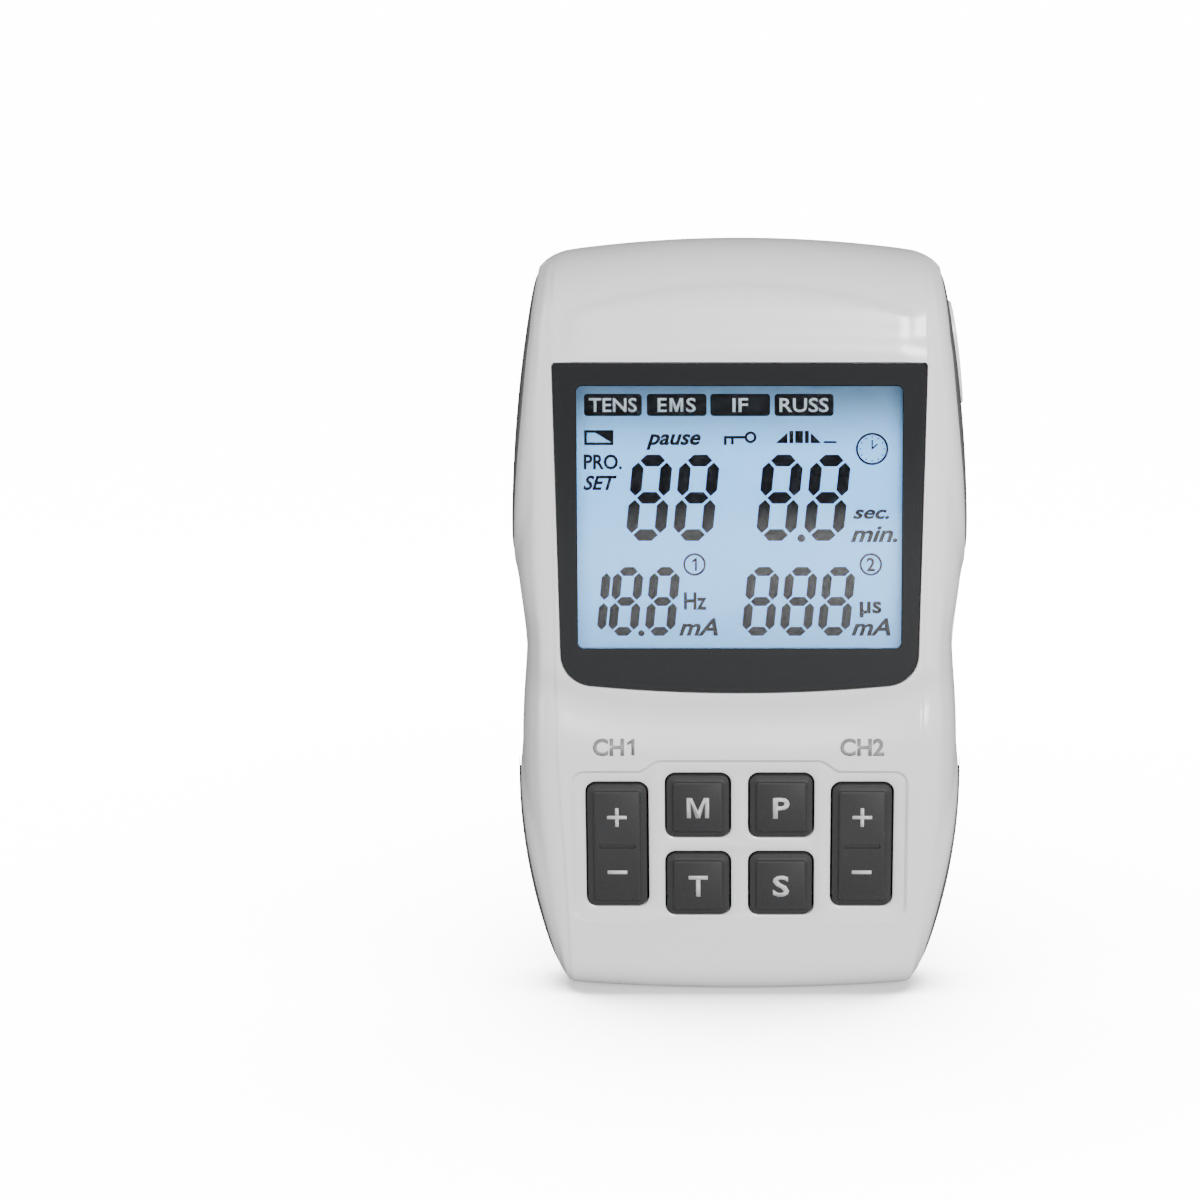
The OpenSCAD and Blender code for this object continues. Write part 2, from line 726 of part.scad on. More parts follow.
module charging_socket() color("silver") placed() difference() {
    block(-charge_w / 2, charge_w / 2, board_back, board_back + charge_t, 0.6, 7.2);
    block(-charge_w / 2 + 0.35, charge_w / 2 - 0.35, board_back + 0.35, board_back + charge_t - 0.35, 0, 6.4);
}

// Battery -------------------------------------------------------------------

module battery_pack() color("steelblue") placed()
    translate([0, 0, battery_z0 + battery_h / 2]) along_y(battery_y0, battery_y0 + battery_t)
        round_rect(battery_w, battery_h, 1.5);

module contact_blades(grow) for (i = [-1:1])
    block(i * 4 - 0.6 - grow, i * 4 + 0.6 + grow, board_back, battery_y0 - fit_gap,
        battery_z0 + battery_h - 8 - grow, battery_z0 + battery_h - 4 + grow);

module battery_contacts() color("gold") placed() contact_blades(0);

module battery_door() color("whitesmoke") placed() intersection() {
    on_back() along_y(-door_t, 4) door_outline(0);
    rear_form(0);
}

// Belt clip, drawn on the back's own plane: y outwards, z up -----------------

pivot_y = base_t + 0.4;
base_z0 = pivot_z - 7.6;
base_z1 = pivot_z + 8.6;
head_z0 = pivot_z - 7.8;
head_z1 = pivot_z + 6.5;
tab_z1 = pivot_z + 9.9;
toe_z = pivot_z - arm_l;
nub_r = 4;
nub_z = toe_z + 5.6;
ear_t = 1.6;
ear_x = 5.2;
ear_r = 1.8;
spring_wire_r = 0.3;
cheek_t = 1.4;
plate_t = 0.9;
rail_t = 1.4;
arm_w = clip_w - 2 * (rail_t + 0.4);
clip_screw_z = pivot_z - 4.6;

module clip_base() color("white") placed() on_back() difference() {
    union() {
        block(-clip_w / 2, clip_w / 2, 0, plate_t, base_z0, base_z1);
        for (s = [-1, 1]) {
            translate([s * (clip_w - rail_t) / 2, 0, 0])
                block(-rail_t / 2, rail_t / 2, 0, base_t, base_z0, base_z1);
            block(s * ear_x - ear_t / 2, s * ear_x + ear_t / 2, plate_t - 0.1, pivot_y,
                pivot_z - ear_r, pivot_z + ear_r);
            translate([0, pivot_y, pivot_z])
                cylinder_x(ear_r, s * ear_x - ear_t / 2, s * ear_x + ear_t / 2);
        }
    }
    translate([0, pivot_y, pivot_z]) cylinder_x(pin_r + pin_gap, -clip_w, clip_w);
    for (x = [-clip_screw_x, clip_screw_x]) translate([x, 0, clip_screw_z])
        cylinder_y(screw_r + fit_gap, -1, 2);
}

module clip_screws() color("silver") placed() on_back() for (x = [-clip_screw_x, clip_screw_x])
    translate([x, 0, clip_screw_z]) {
        cylinder_y(screw_r - fit_gap, -wall - 0.8, plate_t);
        cylinder_y(1.7, plate_t, plate_t + 0.7);
    }

module clip_pin() color("silver") placed() on_back() translate([0, pivot_y, pivot_z])
    cylinder_x(pin_r, -arm_w / 2 + 0.4, arm_w / 2 - 0.4);

module clip_spring() color("gray") placed() on_back() translate([0, pivot_y, pivot_z]) {
    for (i = [0:4]) translate([-1.6 + 0.8 * i, 0, 0]) rotate([0, 90, 0])
        rotate_extrude() translate([pin_r + 0.12 + spring_wire_r, 0]) circle(r = spring_wire_r, $fn = 16);
    block(-spring_wire_r, spring_wire_r, -1.7, -1.1, -5, 0);
}

module clip_arm() color("white") placed() on_back() difference() {
    union() {
        block(-arm_w / 2, arm_w / 2, base_t + 0.2, clip_outer, head_z0, head_z1);
        block(-arm_w / 2 + 1, arm_w / 2 - 1, base_t + 0.5, clip_outer - 0.3, head_z1 - 0.5, tab_z1);
        translate([0, pivot_y, pivot_z]) cylinder_x(ear_r, -arm_w / 2, arm_w / 2);
        block(-arm_w / 2, arm_w / 2, belt_gap, clip_outer, toe_z + 1.4, head_z0 + 1);
        intersection() {
            translate([0, nub_r + 0.15, nub_z]) cylinder_x(nub_r, -arm_w / 2, arm_w / 2);
            block(-arm_w, arm_w, 0, belt_gap + 0.5, toe_z - 5, nub_z + 6);
        }
        along_x(-arm_w / 2, arm_w / 2) polygon([
            [belt_gap, toe_z + 2.6], [belt_gap + toe_flare, toe_z - 0.9],
            [clip_outer + toe_flare, toe_z - 0.9], [clip_outer, toe_z + 2.6]]);
    }
    // Hollow of the head, clear of the ears, the spring and the base's screws
    block(-arm_w / 2 + cheek_t, arm_w / 2 - cheek_t, -1, clip_outer - 1.1, head_z0 + 1.2, head_z1 - 1.2);
    translate([0, pivot_y, pivot_z]) cylinder_x(pin_r + pin_gap, -arm_w, arm_w);
}

front_housing();
rear_housing();
display_lens();
lens_tape();
lcd_glass();
lcd_frame();
backlight_panel();
lcd_connector();
main_board();
microcontroller();
board_parts();
output_transformers();
buzzer();
key_board();
board_header();
key_mat();
mode_key();
program_key();
time_key();
set_key();
rocker_ch1();
rocker_ch2();
power_button();
power_switch();
power_board();
upper_grip_right();
upper_grip_left();
lower_grip_right();
lower_grip_left();
output_socket_1();
output_socket_2();
socket_contacts();
charging_socket();
battery_pack();
battery_contacts();
battery_door();
housing_screws();
board_screws();
clip_base();
clip_screws();
clip_pin();
clip_spring();
clip_arm();
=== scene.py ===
import math

import bmesh
import bpy
import numpy as np
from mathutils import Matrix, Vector
from mathutils.bvhtree import BVHTree


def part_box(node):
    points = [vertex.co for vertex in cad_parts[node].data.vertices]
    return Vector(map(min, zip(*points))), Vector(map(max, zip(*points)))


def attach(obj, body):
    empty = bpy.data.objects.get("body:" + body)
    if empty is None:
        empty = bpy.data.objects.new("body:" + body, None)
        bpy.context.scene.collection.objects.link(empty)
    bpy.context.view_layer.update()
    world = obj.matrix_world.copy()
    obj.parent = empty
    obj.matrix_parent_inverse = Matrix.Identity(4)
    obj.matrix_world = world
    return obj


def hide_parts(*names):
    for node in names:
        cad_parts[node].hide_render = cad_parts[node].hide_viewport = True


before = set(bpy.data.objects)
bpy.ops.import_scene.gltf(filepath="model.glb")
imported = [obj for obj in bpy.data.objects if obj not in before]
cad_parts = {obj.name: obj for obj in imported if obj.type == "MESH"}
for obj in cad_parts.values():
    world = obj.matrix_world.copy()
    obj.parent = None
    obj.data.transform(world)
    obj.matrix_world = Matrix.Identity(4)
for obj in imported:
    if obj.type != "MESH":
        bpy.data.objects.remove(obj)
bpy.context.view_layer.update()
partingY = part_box("main_board")[1].y * 1000 + 0.3  # mm from the origin to the plane where the shells meet
print("frame loaded, shells meet at", round(partingY, 3), "mm")

# Everything below is drawn in mm from the middle of the foot on the parting plane.

body = {
    "height": 120.0,
    "widths": [(0, 27.4), (38.04, 35.0), (54, 34.1), (71.64, 35.6), (120, 30.4)],
    "creases": [(0, 26.7), (23, 27.6), (40, 28.6), (100, 29.0), (120, 28.7)],
    "creaseStep": 0.22,
    "crownRadius": 169.2,
    "soleRadius": 300.0,
    "wall": 2.2,
    "screenTilt": 2.5,
    "keypadTilt": 5.7,
    "backTilt": 4.6,
    "valleyLift": 3.2,
    "podHeight": 0.55,
}
screen = {"y": -12.4, "z": 50.4, "top": 51.3, "half": 29.2, "taper": 1.4, "corner": 5.0, "sag": 1.6,
          "windowW": 50.4, "windowH": 40.9, "drop": 3.4}
keypad = {"y": -11.13, "z": 25.5, "recess": 0.5, "pitch": 13.1, "keyW": 9.8, "keyH": 10.2,
          "rockerW": 9.3, "rockerH": 20.3, "rockerX": 19.3, "corner": 1.4, "proud": 1.0}
grips = {"upper": {"tip": (0.2, 70.94), "end": (4.1, 114.7), "half": 9.4, "widest": 0.7, "sharp": 2.0,
                   "full": 0.6},
         "lower": {"tip": (-0.8, 35.94), "end": (0.8, 2.7), "half": 6.2, "widest": 0.68, "sharp": 2.0,
                   "full": 0.8},
         "proud": 0.3}


def smooth(t):
    t = np.clip(t, 0, 1)
    return t * t * (3 - 2 * t)


def halfWidth(z):
    (_, w0), (z1, w1), (z2, w2), (z3, w3), (z4, w4) = body["widths"]
    z = np.clip(np.asarray(z, float), 0, z4)
    low = w1 - (w1 - w0) * np.power(np.clip(1 - z / z1, 0, 1), 2.2)
    mid = w1 + (w2 - w1) * smooth((z - z1) / (z2 - z1))
    up = w2 + (w3 - w2) * smooth((z - z2) / (z3 - z2))
    high = w3 - (w3 - w4) * ((z - z3) / (z4 - z3)) ** 2
    return np.where(z < z1, low, np.where(z < z2, mid, np.where(z < z3, up, high)))


def creaseAt(z):
    zs, xs = zip(*body["creases"])
    return np.interp(z, zs, xs)


def arcPoints(cy, cz, r, a0, a1, n):
    return [(cy + r * math.cos(math.radians(a0 + (a1 - a0) * i / n)),
             cz + r * math.sin(math.radians(a0 + (a1 - a0) * i / n))) for i in range(n + 1)]


def screenY(z):
    return screen["y"] + (z - screen["z"]) * math.tan(math.radians(body["screenTilt"]))


def keypadY(z):
    return keypad["y"] - (z - keypad["z"]) * math.tan(math.radians(body["keypadTilt"]))


# middle y, middle z and radius of each rounded end
ends = {"top": (4.25, 106.7, 13.3), "heel": (1.81, 7.8, 7.8), "toe": (-3.6, 5.5, 5.5)}

# Side outline of the body, from the top of the parting line forward and down, then back and up again
sideLoop = (arcPoints(*ends["top"], 180, -body["backTilt"], 40) + arcPoints(*ends["heel"],
                                                                            -body["backTilt"], -90, 14)
            + arcPoints(*ends["toe"], -90, body["keypadTilt"] - 180, 14)
            + [(keypadY(41.2), 41.2), (-11.6, 45.3), (-11.55, 47.4), (screenY(50.0), 50.0),
               (screenY(104), 104)])


def resampled(points, step, closed=True):
    p = np.array(points + points[:1] if closed else points, float)
    d = np.concatenate([[0], np.cumsum(np.linalg.norm(np.diff(p, axis=0), axis=1))])
    n = int(d[-1] / step)
    s = np.linspace(0, d[-1], n + 1)[:-1] if closed else np.linspace(0, d[-1], n + 1)
    return np.stack([np.interp(s, d, p[:, k]) for k in (0, 1)], 1)


loop = resampled(sideLoop, 0.2)
kernel = np.exp(-0.5 * (np.arange(-12, 13) / 4.5) ** 2)
kernel /= kernel.sum()
loop = np.stack([np.convolve(np.concatenate([loop[-12:, k], loop[:, k], loop[:12, k]]), kernel, "valid")
                 for k in (0, 1)], 1)
loop[:, 1] *= body["height"] / loop[:, 1].max()
loop[:, 1] -= loop[:, 1].min()


def halfLoop(front):
    # rows of y and z on one side of the parting plane, from top to bottom
    y, z = loop[:, 0], loop[:, 1]
    n = len(y)
    top = [i for i in range(n) if z[i] > 60 and (y[i] < 0) != (y[(i + 1) % n] < 0)][0]
    low = [i for i in range(n) if z[i] < 60 and (y[i] < 0) != (y[(i + 1) % n] < 0)][0]

    def cut(i):
        j = (i + 1) % n
        t = -y[i] / (y[j] - y[i])
        return [0.0, z[i] + t * (z[j] - z[i])]
    inside = [k % n for k in (range(low + 1, top + 1 + (n if top < low else 0)) if front else
                              range(top + 1, low + 1 + (n if low < top else 0)))]
    rows = [[y[k], z[k]] for k in inside]
    rows = [cut(low)] + rows + [cut(top)] if front else [cut(top)] + rows + [cut(low)]
    return np.array(rows[::-1] if front else rows)


frontRows = halfLoop(True)
rearRows = halfLoop(False)


def depthAt(z, front):
    # y of the flat middle at height z
    rows = frontRows if front else rearRows
    order = np.argsort(rows[:, 1])
    return np.interp(z, rows[order, 1], rows[order, 0])


topCorner = {"x": 27.2, "r": 5.0, "turn": 50}
lowCorner = {"x": 25.9, "r": 3.2, "turn": 50}
topCorner["z"] = body["height"] - topCorner["x"] ** 2 / (2 * body["crownRadius"]) - topCorner["r"]
lowCorner["z"] = lowCorner["x"] ** 2 / (2 * body["soleRadius"]) + lowCorner["r"]
for corner, up in ((topCorner, 1), (lowCorner, -1)):
    corner["endX"] = corner["x"] + corner["r"] * math.sin(math.radians(corner["turn"]))
    corner["endZ"] = corner["z"] + up * corner["r"] * math.cos(math.radians(corner["turn"]))
endZones = (98.0, 13.0)  # the rows above and below these heights fan out to fill the crown and the sole


def silhouetteX(z):
    # half width of the front outline, with its rounded corners
    z = np.asarray(z, float)
    up = np.clip((z - topCorner["z"]) / topCorner["r"], 0, 1)
    low = np.clip((lowCorner["z"] - z) / lowCorner["r"], 0, 1)
    w = halfWidth(z)
    w = np.where(up > 0, np.minimum(w, topCorner["x"] + topCorner["r"] * np.sqrt(1 - up * up)), w)
    return np.where(low > 0, np.minimum(w, lowCorner["x"] + lowCorner["r"] * np.sqrt(1 - low * low)), w)


def rowEnd(zo):
    # height at which a row of the side outline meets the front outline
    high, low = endZones
    top = high + (zo - high) * (topCorner["endZ"] - high) / (body["height"] - high)
    sole = low - (low - zo) * (low - lowCorner["endZ"]) / low
    return np.where(zo > high, top, np.where(zo < low, sole, zo))


def rowOf(z):
    high, low = endZones
    top = high + (z - high) * (body["height"] - high) / (topCorner["endZ"] - high)
    sole = low - (low - z) * low / (low - lowCorner["endZ"])
    return np.where(z > high, top, np.where(z < low, sole, z))


def edgeFall(share, corner, radius):
    # how a row falls from the middle to its end, 0 to 1, as the crown or sole does
    x = share * corner["endX"]
    over = np.clip((x - corner["x"]) / corner["r"], 0, 1)
    fall = x * x / (2 * radius) + corner["r"] * (1 - np.sqrt(1 - over * over))
    whole = corner["endX"] ** 2 / (2 * radius) + corner["r"] * (1 - math.cos(math.radians(corner["turn"])))
    return fall / whole


def sectionFront(t):
    return np.power(np.clip(1 - t ** 3.4, 0, 1), 1 / 3.4) * (1 - 0.15 * t ** 1.3)


def sectionRear(t):
    return np.power(np.clip(1 - t ** 2.8, 0, 1), 1 / 2.8)


sectionT = np.linspace(0, 1, 400)
rearRound = 9.0


def sideX(y, z, front):
    # half width of the smooth side at a point of the side view
    y, z = np.asarray(y, float), np.asarray(z, float)
    depth = np.abs(depthAt(rowOf(z), front)) + 1e-6
    share = np.clip(np.abs(y) / depth, 0, 1)
    w = silhouetteX(z)
    if front:
        t = np.interp(-share, -sectionFront(sectionT), sectionT)
        edge = np.minimum(creaseAt(z), w - 1.2)
        return edge + (w - edge) * t
    t = np.interp(-share, -sectionRear(sectionT), sectionT)
    return w - rearRound + rearRound * t


def leafHalf(t, g):
    t = np.clip(t, 0, 1)
    rise = np.power(np.clip(1 - np.power(np.clip(1 - t / g["widest"], 0, 1), g["sharp"]), 0, 1), g["full"])
    fall = np.sqrt(np.clip(1 - np.power(np.clip((t - g["widest"]) / (1 - g["widest"]), 0, 1), 2.4), 0, 1))
    return g["half"] * np.where(t < g["widest"], rise, fall)


def leafMiddle(t, g):
    return g["tip"][0] + (g["end"][0] - g["tip"][0]) * np.power(np.clip(t, 0, 1), 0.8)


def leafOutline(g, n=90):
    t = (1 - np.cos(np.linspace(0, math.pi, n))) / 2
    z = g["tip"][1] + (g["end"][1] - g["tip"][1]) * t
    h, m = leafHalf(t, g), leafMiddle(t, g)
    return np.concatenate([np.stack([m + h, z], 1), np.stack([m - h, z], 1)[-2:0:-1]])


leafLines = {k: leafOutline(grips[k]) for k in ("upper", "lower")}


def gripDistance(y, z):
    # distance from the nearest grip's outline, nought on the grip itself
    best = np.full(np.shape(y), 99.0)
    for k in ("upper", "lower"):
        line, g = leafLines[k], grips[k]
        d = np.min(np.hypot(y[..., None] - line[:, 0], z[..., None] - line[:, 1]), axis=-1)
        t = (z - g["tip"][1]) / (g["end"][1] - g["tip"][1])
        on = (t > 0) & (t < 1) & (np.abs(y - leafMiddle(t, g)) < leafHalf(t, g))
        best = np.minimum(best, np.where(on, 0, d))
    return best


def metres(points):
    p = np.asarray(points, float).reshape(-1, 3).copy()
    p[:, 1] += partingY
    return p * 0.001


def piece(name, points, faces, material, bodyName="housing", slot=None, covers=(), soft=35):
    mesh = bpy.data.meshes.new(name)
    mesh.from_pydata([tuple(v) for v in metres(points)], [], [tuple(f) for f in faces])
    mesh.validate()
    obj = bpy.data.objects.new(name, mesh)
    bpy.context.scene.collection.objects.link(obj)
    work = bmesh.new()
    work.from_mesh(mesh)
    bmesh.ops.recalc_face_normals(work, faces=work.faces)
    work.to_mesh(mesh)
    work.free()
    return dress(obj, material, bodyName, slot, covers, soft)


def dress(obj, material, bodyName, slot, covers, soft):
    mesh = obj.data
    mesh.materials.clear()
    mesh.materials.append(material)
    mesh.polygons.foreach_set("use_smooth", [True] * len(mesh.polygons))
    if soft is not None:
        mesh.set_sharp_from_angle(angle=math.radians(soft))
    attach(obj, bodyName)
    if covers:
        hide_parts(*covers)
    return obj


def gridFaces(rows, cols, offset=0, loopRows=False, flip=False):
    faces = []
    for i in range(rows if loopRows else rows - 1):
        for j in range(cols - 1):
            a, b = offset + i * cols + j, offset + i * cols + j + 1
            c, d = offset + (i + 1) % rows * cols + j + 1, offset + (i + 1) % rows * cols + j
            faces.append((a, b, c, d) if not flip else (d, c, b, a))
    return faces


def roundRect(w, h, r, n=7, cx=0.0, cz=0.0):
    pts = []
    for sx, sz, a in ((1, 1, 0), (-1, 1, 90), (-1, -1, 180), (1, -1, 270)):
        for i in range(n + 1):
            b = math.radians(a + 90 * i / n)
            pts.append((cx + sx * (w / 2 - r) + r * math.cos(b), cz + sz * (h / 2 - r) + r * math.sin(b)))
    return pts


def grown(points, d):
    # moves each point of an outline out by d along its own normal
    p = np.array(points, float)
    back, ahead = p - np.roll(p, 1, 0), np.roll(p, -1, 0) - p
    n1 = np.stack([back[:, 1], -back[:, 0]], 1) / (np.linalg.norm(back, axis=1)[:, None] + 1e-9)
    n2 = np.stack([ahead[:, 1], -ahead[:, 0]], 1) / (np.linalg.norm(ahead, axis=1)[:, None] + 1e-9)
    n = n1 + n2
    n /= np.maximum((n * n1).sum(1), 0.35)[:, None]
    area = 0.5 * np.sum(p[:, 0] * np.roll(p[:, 1], -1) - np.roll(p[:, 0], -1) * p[:, 1])
    return p + n * d * (1 if area > 0 else -1)


def tubeFaces(n, levels, closed=False):
    # faces between stacked rings of n points; closed joins the last ring to the first
    return [(k * n + i, k * n + (i + 1) % n, (k + 1) % levels * n + (i + 1) % n, (k + 1) % levels * n + i)
            for k in range(levels if closed else levels - 1) for i in range(n)]


def loft(outline, levels, place):
    # a stack of grown outlines: levels are (depth, growth); place turns (a, depth, b) into a point
    n, pts = len(outline), []
    for depth, growth in levels:
        for a, b in grown(outline, growth):
            pts.append(place(a, depth, b))
    return pts, tubeFaces(n, len(levels)) + [tuple(range(n)), tuple(range(len(pts) - n, len(pts)))]


def joined(parts):
    pts, faces = [], []
    for p, f in parts:
        base = len(pts)
        pts += [tuple(v) for v in p]
        faces += [tuple(i + base for i in face) for face in f]
    return pts, faces


def tilted(originY, originZ, degrees, lift=0.0):
    a = math.radians(degrees)

    def place(x, depth, h):
        d = depth + lift
        return (x, originY + d * math.cos(a) + h * math.sin(a), originZ - d * math.sin(a) + h * math.cos(a))
    return place


onScreen = tilted(screen["y"], screen["z"], body["screenTilt"])
onKeypad = tilted(keypad["y"], keypad["z"], -body["keypadTilt"], keypad["recess"])
backY = 9.0082
onBack = tilted(backY, 0, body["backTilt"])


def cutter(parts):
    pts, faces = joined(parts)
    mesh = bpy.data.meshes.new("cutter")
    mesh.from_pydata([tuple(v) for v in metres(pts)], [], faces)
    work = bmesh.new()
    work.from_mesh(mesh)
    bmesh.ops.triangulate(work, faces=[f for f in work.faces if len(f.verts) > 4])
    bmesh.ops.recalc_face_normals(work, faces=work.faces)
    work.to_mesh(mesh)
    work.free()
    obj = bpy.data.objects.new("cutter", mesh)
    bpy.context.scene.collection.objects.link(obj)
    return obj


def carve(obj, tools, operation="DIFFERENCE"):
    # applies each boolean in turn and removes the tool
    for tool in tools:
        mod = obj.modifiers.new("cut", "BOOLEAN")
        mod.object, mod.operation, mod.solver = tool, operation, "MANIFOLD"
        dg = bpy.context.evaluated_depsgraph_get()
        done = bpy.data.meshes.new_from_object(obj.evaluated_get(dg))
        if len(done.polygons) < 50:
            print("cut left", len(done.polygons), "faces on", obj.name)
        obj.modifiers.clear()
        obj.data = done
        bpy.data.objects.remove(tool)
    return obj


def wired(tree, kind, inputs, **settings):
    # adds a node; each input is a value, or the socket that feeds it
    node = tree.nodes.new(kind)
    for key, value in settings.items():
        setattr(node, key, value)
    for key, value in inputs.items():
        if isinstance(value, bpy.types.NodeSocket):
            tree.links.new(value, node.inputs[key])
        else:
            node.inputs[key].default_value = value
    return node


def finishGroup():
    # soft patches in the tone and the roughness, and a fine grain for the height
    g = bpy.data.node_groups.new("mouldedFinish", "ShaderNodeTree")
    for name, value in (("Colour", (0.8, 0.8, 0.8, 1)), ("Tint", 0.04), ("Roughness", 0.4), ("Wear", 0.08),
                        ("Grain", 900.0), ("Patch", 40.0)):
        kind = "NodeSocketColor" if name == "Colour" else "NodeSocketFloat"
        g.interface.new_socket(name, in_out="INPUT", socket_type=kind).default_value = value
    for name, kind in (("Colour", "Color"), ("Roughness", "Float"), ("Height", "Float")):
        g.interface.new_socket(name, in_out="OUTPUT", socket_type="NodeSocket" + kind)
    given = g.nodes.new("NodeGroupInput").outputs
    spot = g.nodes.new("ShaderNodeTexCoord").outputs["Object"]
    patch = wired(g, "ShaderNodeTexNoise", {"Vector": spot, "Scale": given["Patch"], "Detail": 4})
    grain = wired(g, "ShaderNodeTexNoise", {"Vector": spot, "Scale": given["Grain"], "Detail": 2})
    centred = wired(g, "ShaderNodeMath", {0: patch.outputs["Fac"], 1: 0.5}, operation="SUBTRACT").outputs[0]
    dirt = wired(g, "ShaderNodeMath", {0: centred, 1: given["Tint"], 2: 1},
                 operation="MULTIPLY_ADD").outputs[0]
    hue = wired(g, "ShaderNodeVectorMath", {0: given["Colour"], "Scale": dirt}, operation="SCALE")
    rough = wired(g, "ShaderNodeMath", {0: centred, 1: given["Wear"], 2: given["Roughness"]},
                  operation="MULTIPLY_ADD", use_clamp=True)
    wired(g, "NodeGroupOutput", {"Colour": hue.outputs[0], "Roughness": rough.outputs[0],
                                 "Height": grain.outputs["Fac"]})
    return g


moulded = finishGroup()


def finish(name, colour, rough=0.4, metal=0.0, tint=0.05, wear=0.1, grain=900, patch=40, bump=0.05, coat=0.0,
           glow=None, glowStrength=1.0, subsurface=0.0, clear=0.0, shine=0.5):
    m = bpy.data.materials.new(name)
    m.use_nodes = True
    tree, shader = m.node_tree, m.node_tree.nodes["Principled BSDF"]
    group = tree.nodes.new("ShaderNodeGroup")
    group.node_tree = moulded
    for key, value in (("Colour", tuple(colour) + (1,)), ("Tint", tint), ("Roughness", rough), ("Wear", wear),
                       ("Grain", grain), ("Patch", patch)):
        group.inputs[key].default_value = value
    tree.links.new(group.outputs["Colour"], shader.inputs["Base Color"])
    tree.links.new(group.outputs["Roughness"], shader.inputs["Roughness"])
    constants = {"Metallic": metal, "Specular IOR Level": shine, "Coat Weight": coat, "Coat Roughness": 0.12,
                 "Subsurface Weight": subsurface, "Subsurface Scale": 0.002, "Transmission Weight": clear}
    if glow:
        constants.update({"Emission Color": tuple(glow) + (1,), "Emission Strength": glowStrength})
    for key, value in constants.items():
        shader.inputs[key].default_value = value
    if bump:
        relief = wired(tree, "ShaderNodeBump", {"Strength": bump, "Distance": 0.0001,
                                                "Height": group.outputs["Height"]})
        tree.links.new(relief.outputs["Normal"], shader.inputs["Normal"])
    return m


colours = {
    "white": (0.66, 0.66, 0.665), "clip": (0.74, 0.74, 0.75), "button": (0.74, 0.74, 0.75),
    "tab": (0.55, 0.55, 0.56),
    "rubber": (0.050, 0.050, 0.051), "key": (0.024, 0.024, 0.025), "lens": (0.014, 0.015, 0.016),
    "legend": (0.42, 0.42, 0.42), "label": (0.17, 0.17, 0.175), "icon": (0.20, 0.20, 0.21),
    "lcd": (0.30, 0.60, 0.90), "ink": (0.012, 0.014, 0.018),
}
white = finish("whiteHousing", colours["white"], rough=0.30, tint=0.03, wear=0.12, grain=1600, bump=0.035,
               coat=0.25,
               subsurface=0.04)
clipWhite = finish("whiteClip", colours["clip"], rough=0.34, tint=0.03, grain=1500, bump=0.04, coat=0.15)
buttonWhite = finish("whiteButton", colours["button"], rough=0.3, tint=0.03, grain=1800, bump=0.03, coat=0.2)
tabGrey = finish("thumbTab", colours["tab"], rough=0.5, grain=1200, bump=0.08)
rubber = finish("gripRubber", colours["rubber"], rough=0.62, tint=0.12, wear=0.15, grain=2600, bump=0.35,
                shine=0.3)
keyRubber = finish("keyRubber", colours["key"], rough=0.5, tint=0.1, wear=0.12, grain=2600, bump=0.22,
                   shine=0.2)
lensBlack = finish("lensBorder", colours["lens"], rough=0.14, tint=0.1, wear=0.05, grain=300, bump=0.0,
                   shine=0.22)
legend = finish("keyLegend", colours["legend"], rough=0.5, grain=1800, bump=0.05)
label = finish("printedLabel", colours["label"], rough=0.5, grain=1800, bump=0.05)
icon = finish("buttonIcon", colours["icon"], rough=0.5, grain=1800, bump=0.05)
ink = finish("segmentInk", colours["ink"], rough=0.9, grain=900, bump=0.0, tint=0.2, shine=0.0)
pillText = finish("pillLettering", (0.45, 0.55, 0.62), rough=0.5, bump=0.0, glow=(0.45, 0.6, 0.7),
                  glowStrength=0.35)
clearPane = finish("clearWindow", (1, 1, 1), rough=0.02, tint=0.0, wear=0.03, bump=0.0, clear=1.0, shine=0.12)
ivoryFrame = finish("lcdFrame", (0.75, 0.74, 0.68), rough=0.45, grain=1200)
guide = finish("lightGuide", (0.85, 0.9, 0.95), rough=0.25, grain=500, patch=120)
pink = finish("elastomer", (0.75, 0.35, 0.42), rough=0.6, grain=2400, bump=0.2)
board = finish("circuitBoard", (0.02, 0.17, 0.07), rough=0.35, tint=0.35, grain=500, patch=300, bump=0.15,
               coat=0.3)
chip = finish("blackChip", (0.02, 0.02, 0.022), rough=0.55, tint=0.2, grain=2600, bump=0.25)
smallParts = finish("smallParts", (0.33, 0.2, 0.12), rough=0.45, tint=0.4, patch=200)
copper = finish("transformerWinding", (0.55, 0.33, 0.08), rough=0.4, tint=0.4, grain=1800, patch=220,
                bump=0.3)
mat = finish("keyMat", (0.3, 0.3, 0.31), rough=0.65, grain=2400, bump=0.3)
switchMetal = finish("switchMetal", (0.6, 0.6, 0.62), rough=0.32, metal=1.0, tint=0.15, grain=1600)
socketBlack = finish("socketBlack", (0.018, 0.018, 0.02), rough=0.35, grain=1500, bump=0.1, tint=0.15)
gold = finish("goldContact", (0.9, 0.62, 0.25), rough=0.25, metal=1.0, tint=0.15, grain=1600)
steel = finish("socketSteel", (0.62, 0.62, 0.64), rough=0.28, metal=1.0, tint=0.12, grain=1400)
wrap = finish("batteryWrap", (0.05, 0.16, 0.42), rough=0.3, tint=0.25, patch=90, grain=600, bump=0.1,
              coat=0.3)
screwSteel = finish("screwSteel", (0.52, 0.52, 0.54), rough=0.3, metal=1.0, tint=0.2, grain=2400, bump=0.15)
springSteel = finish("springSteel", (0.45, 0.45, 0.47), rough=0.25, metal=1.0, tint=0.2, grain=2400, bump=0.1)
print("materials ready")

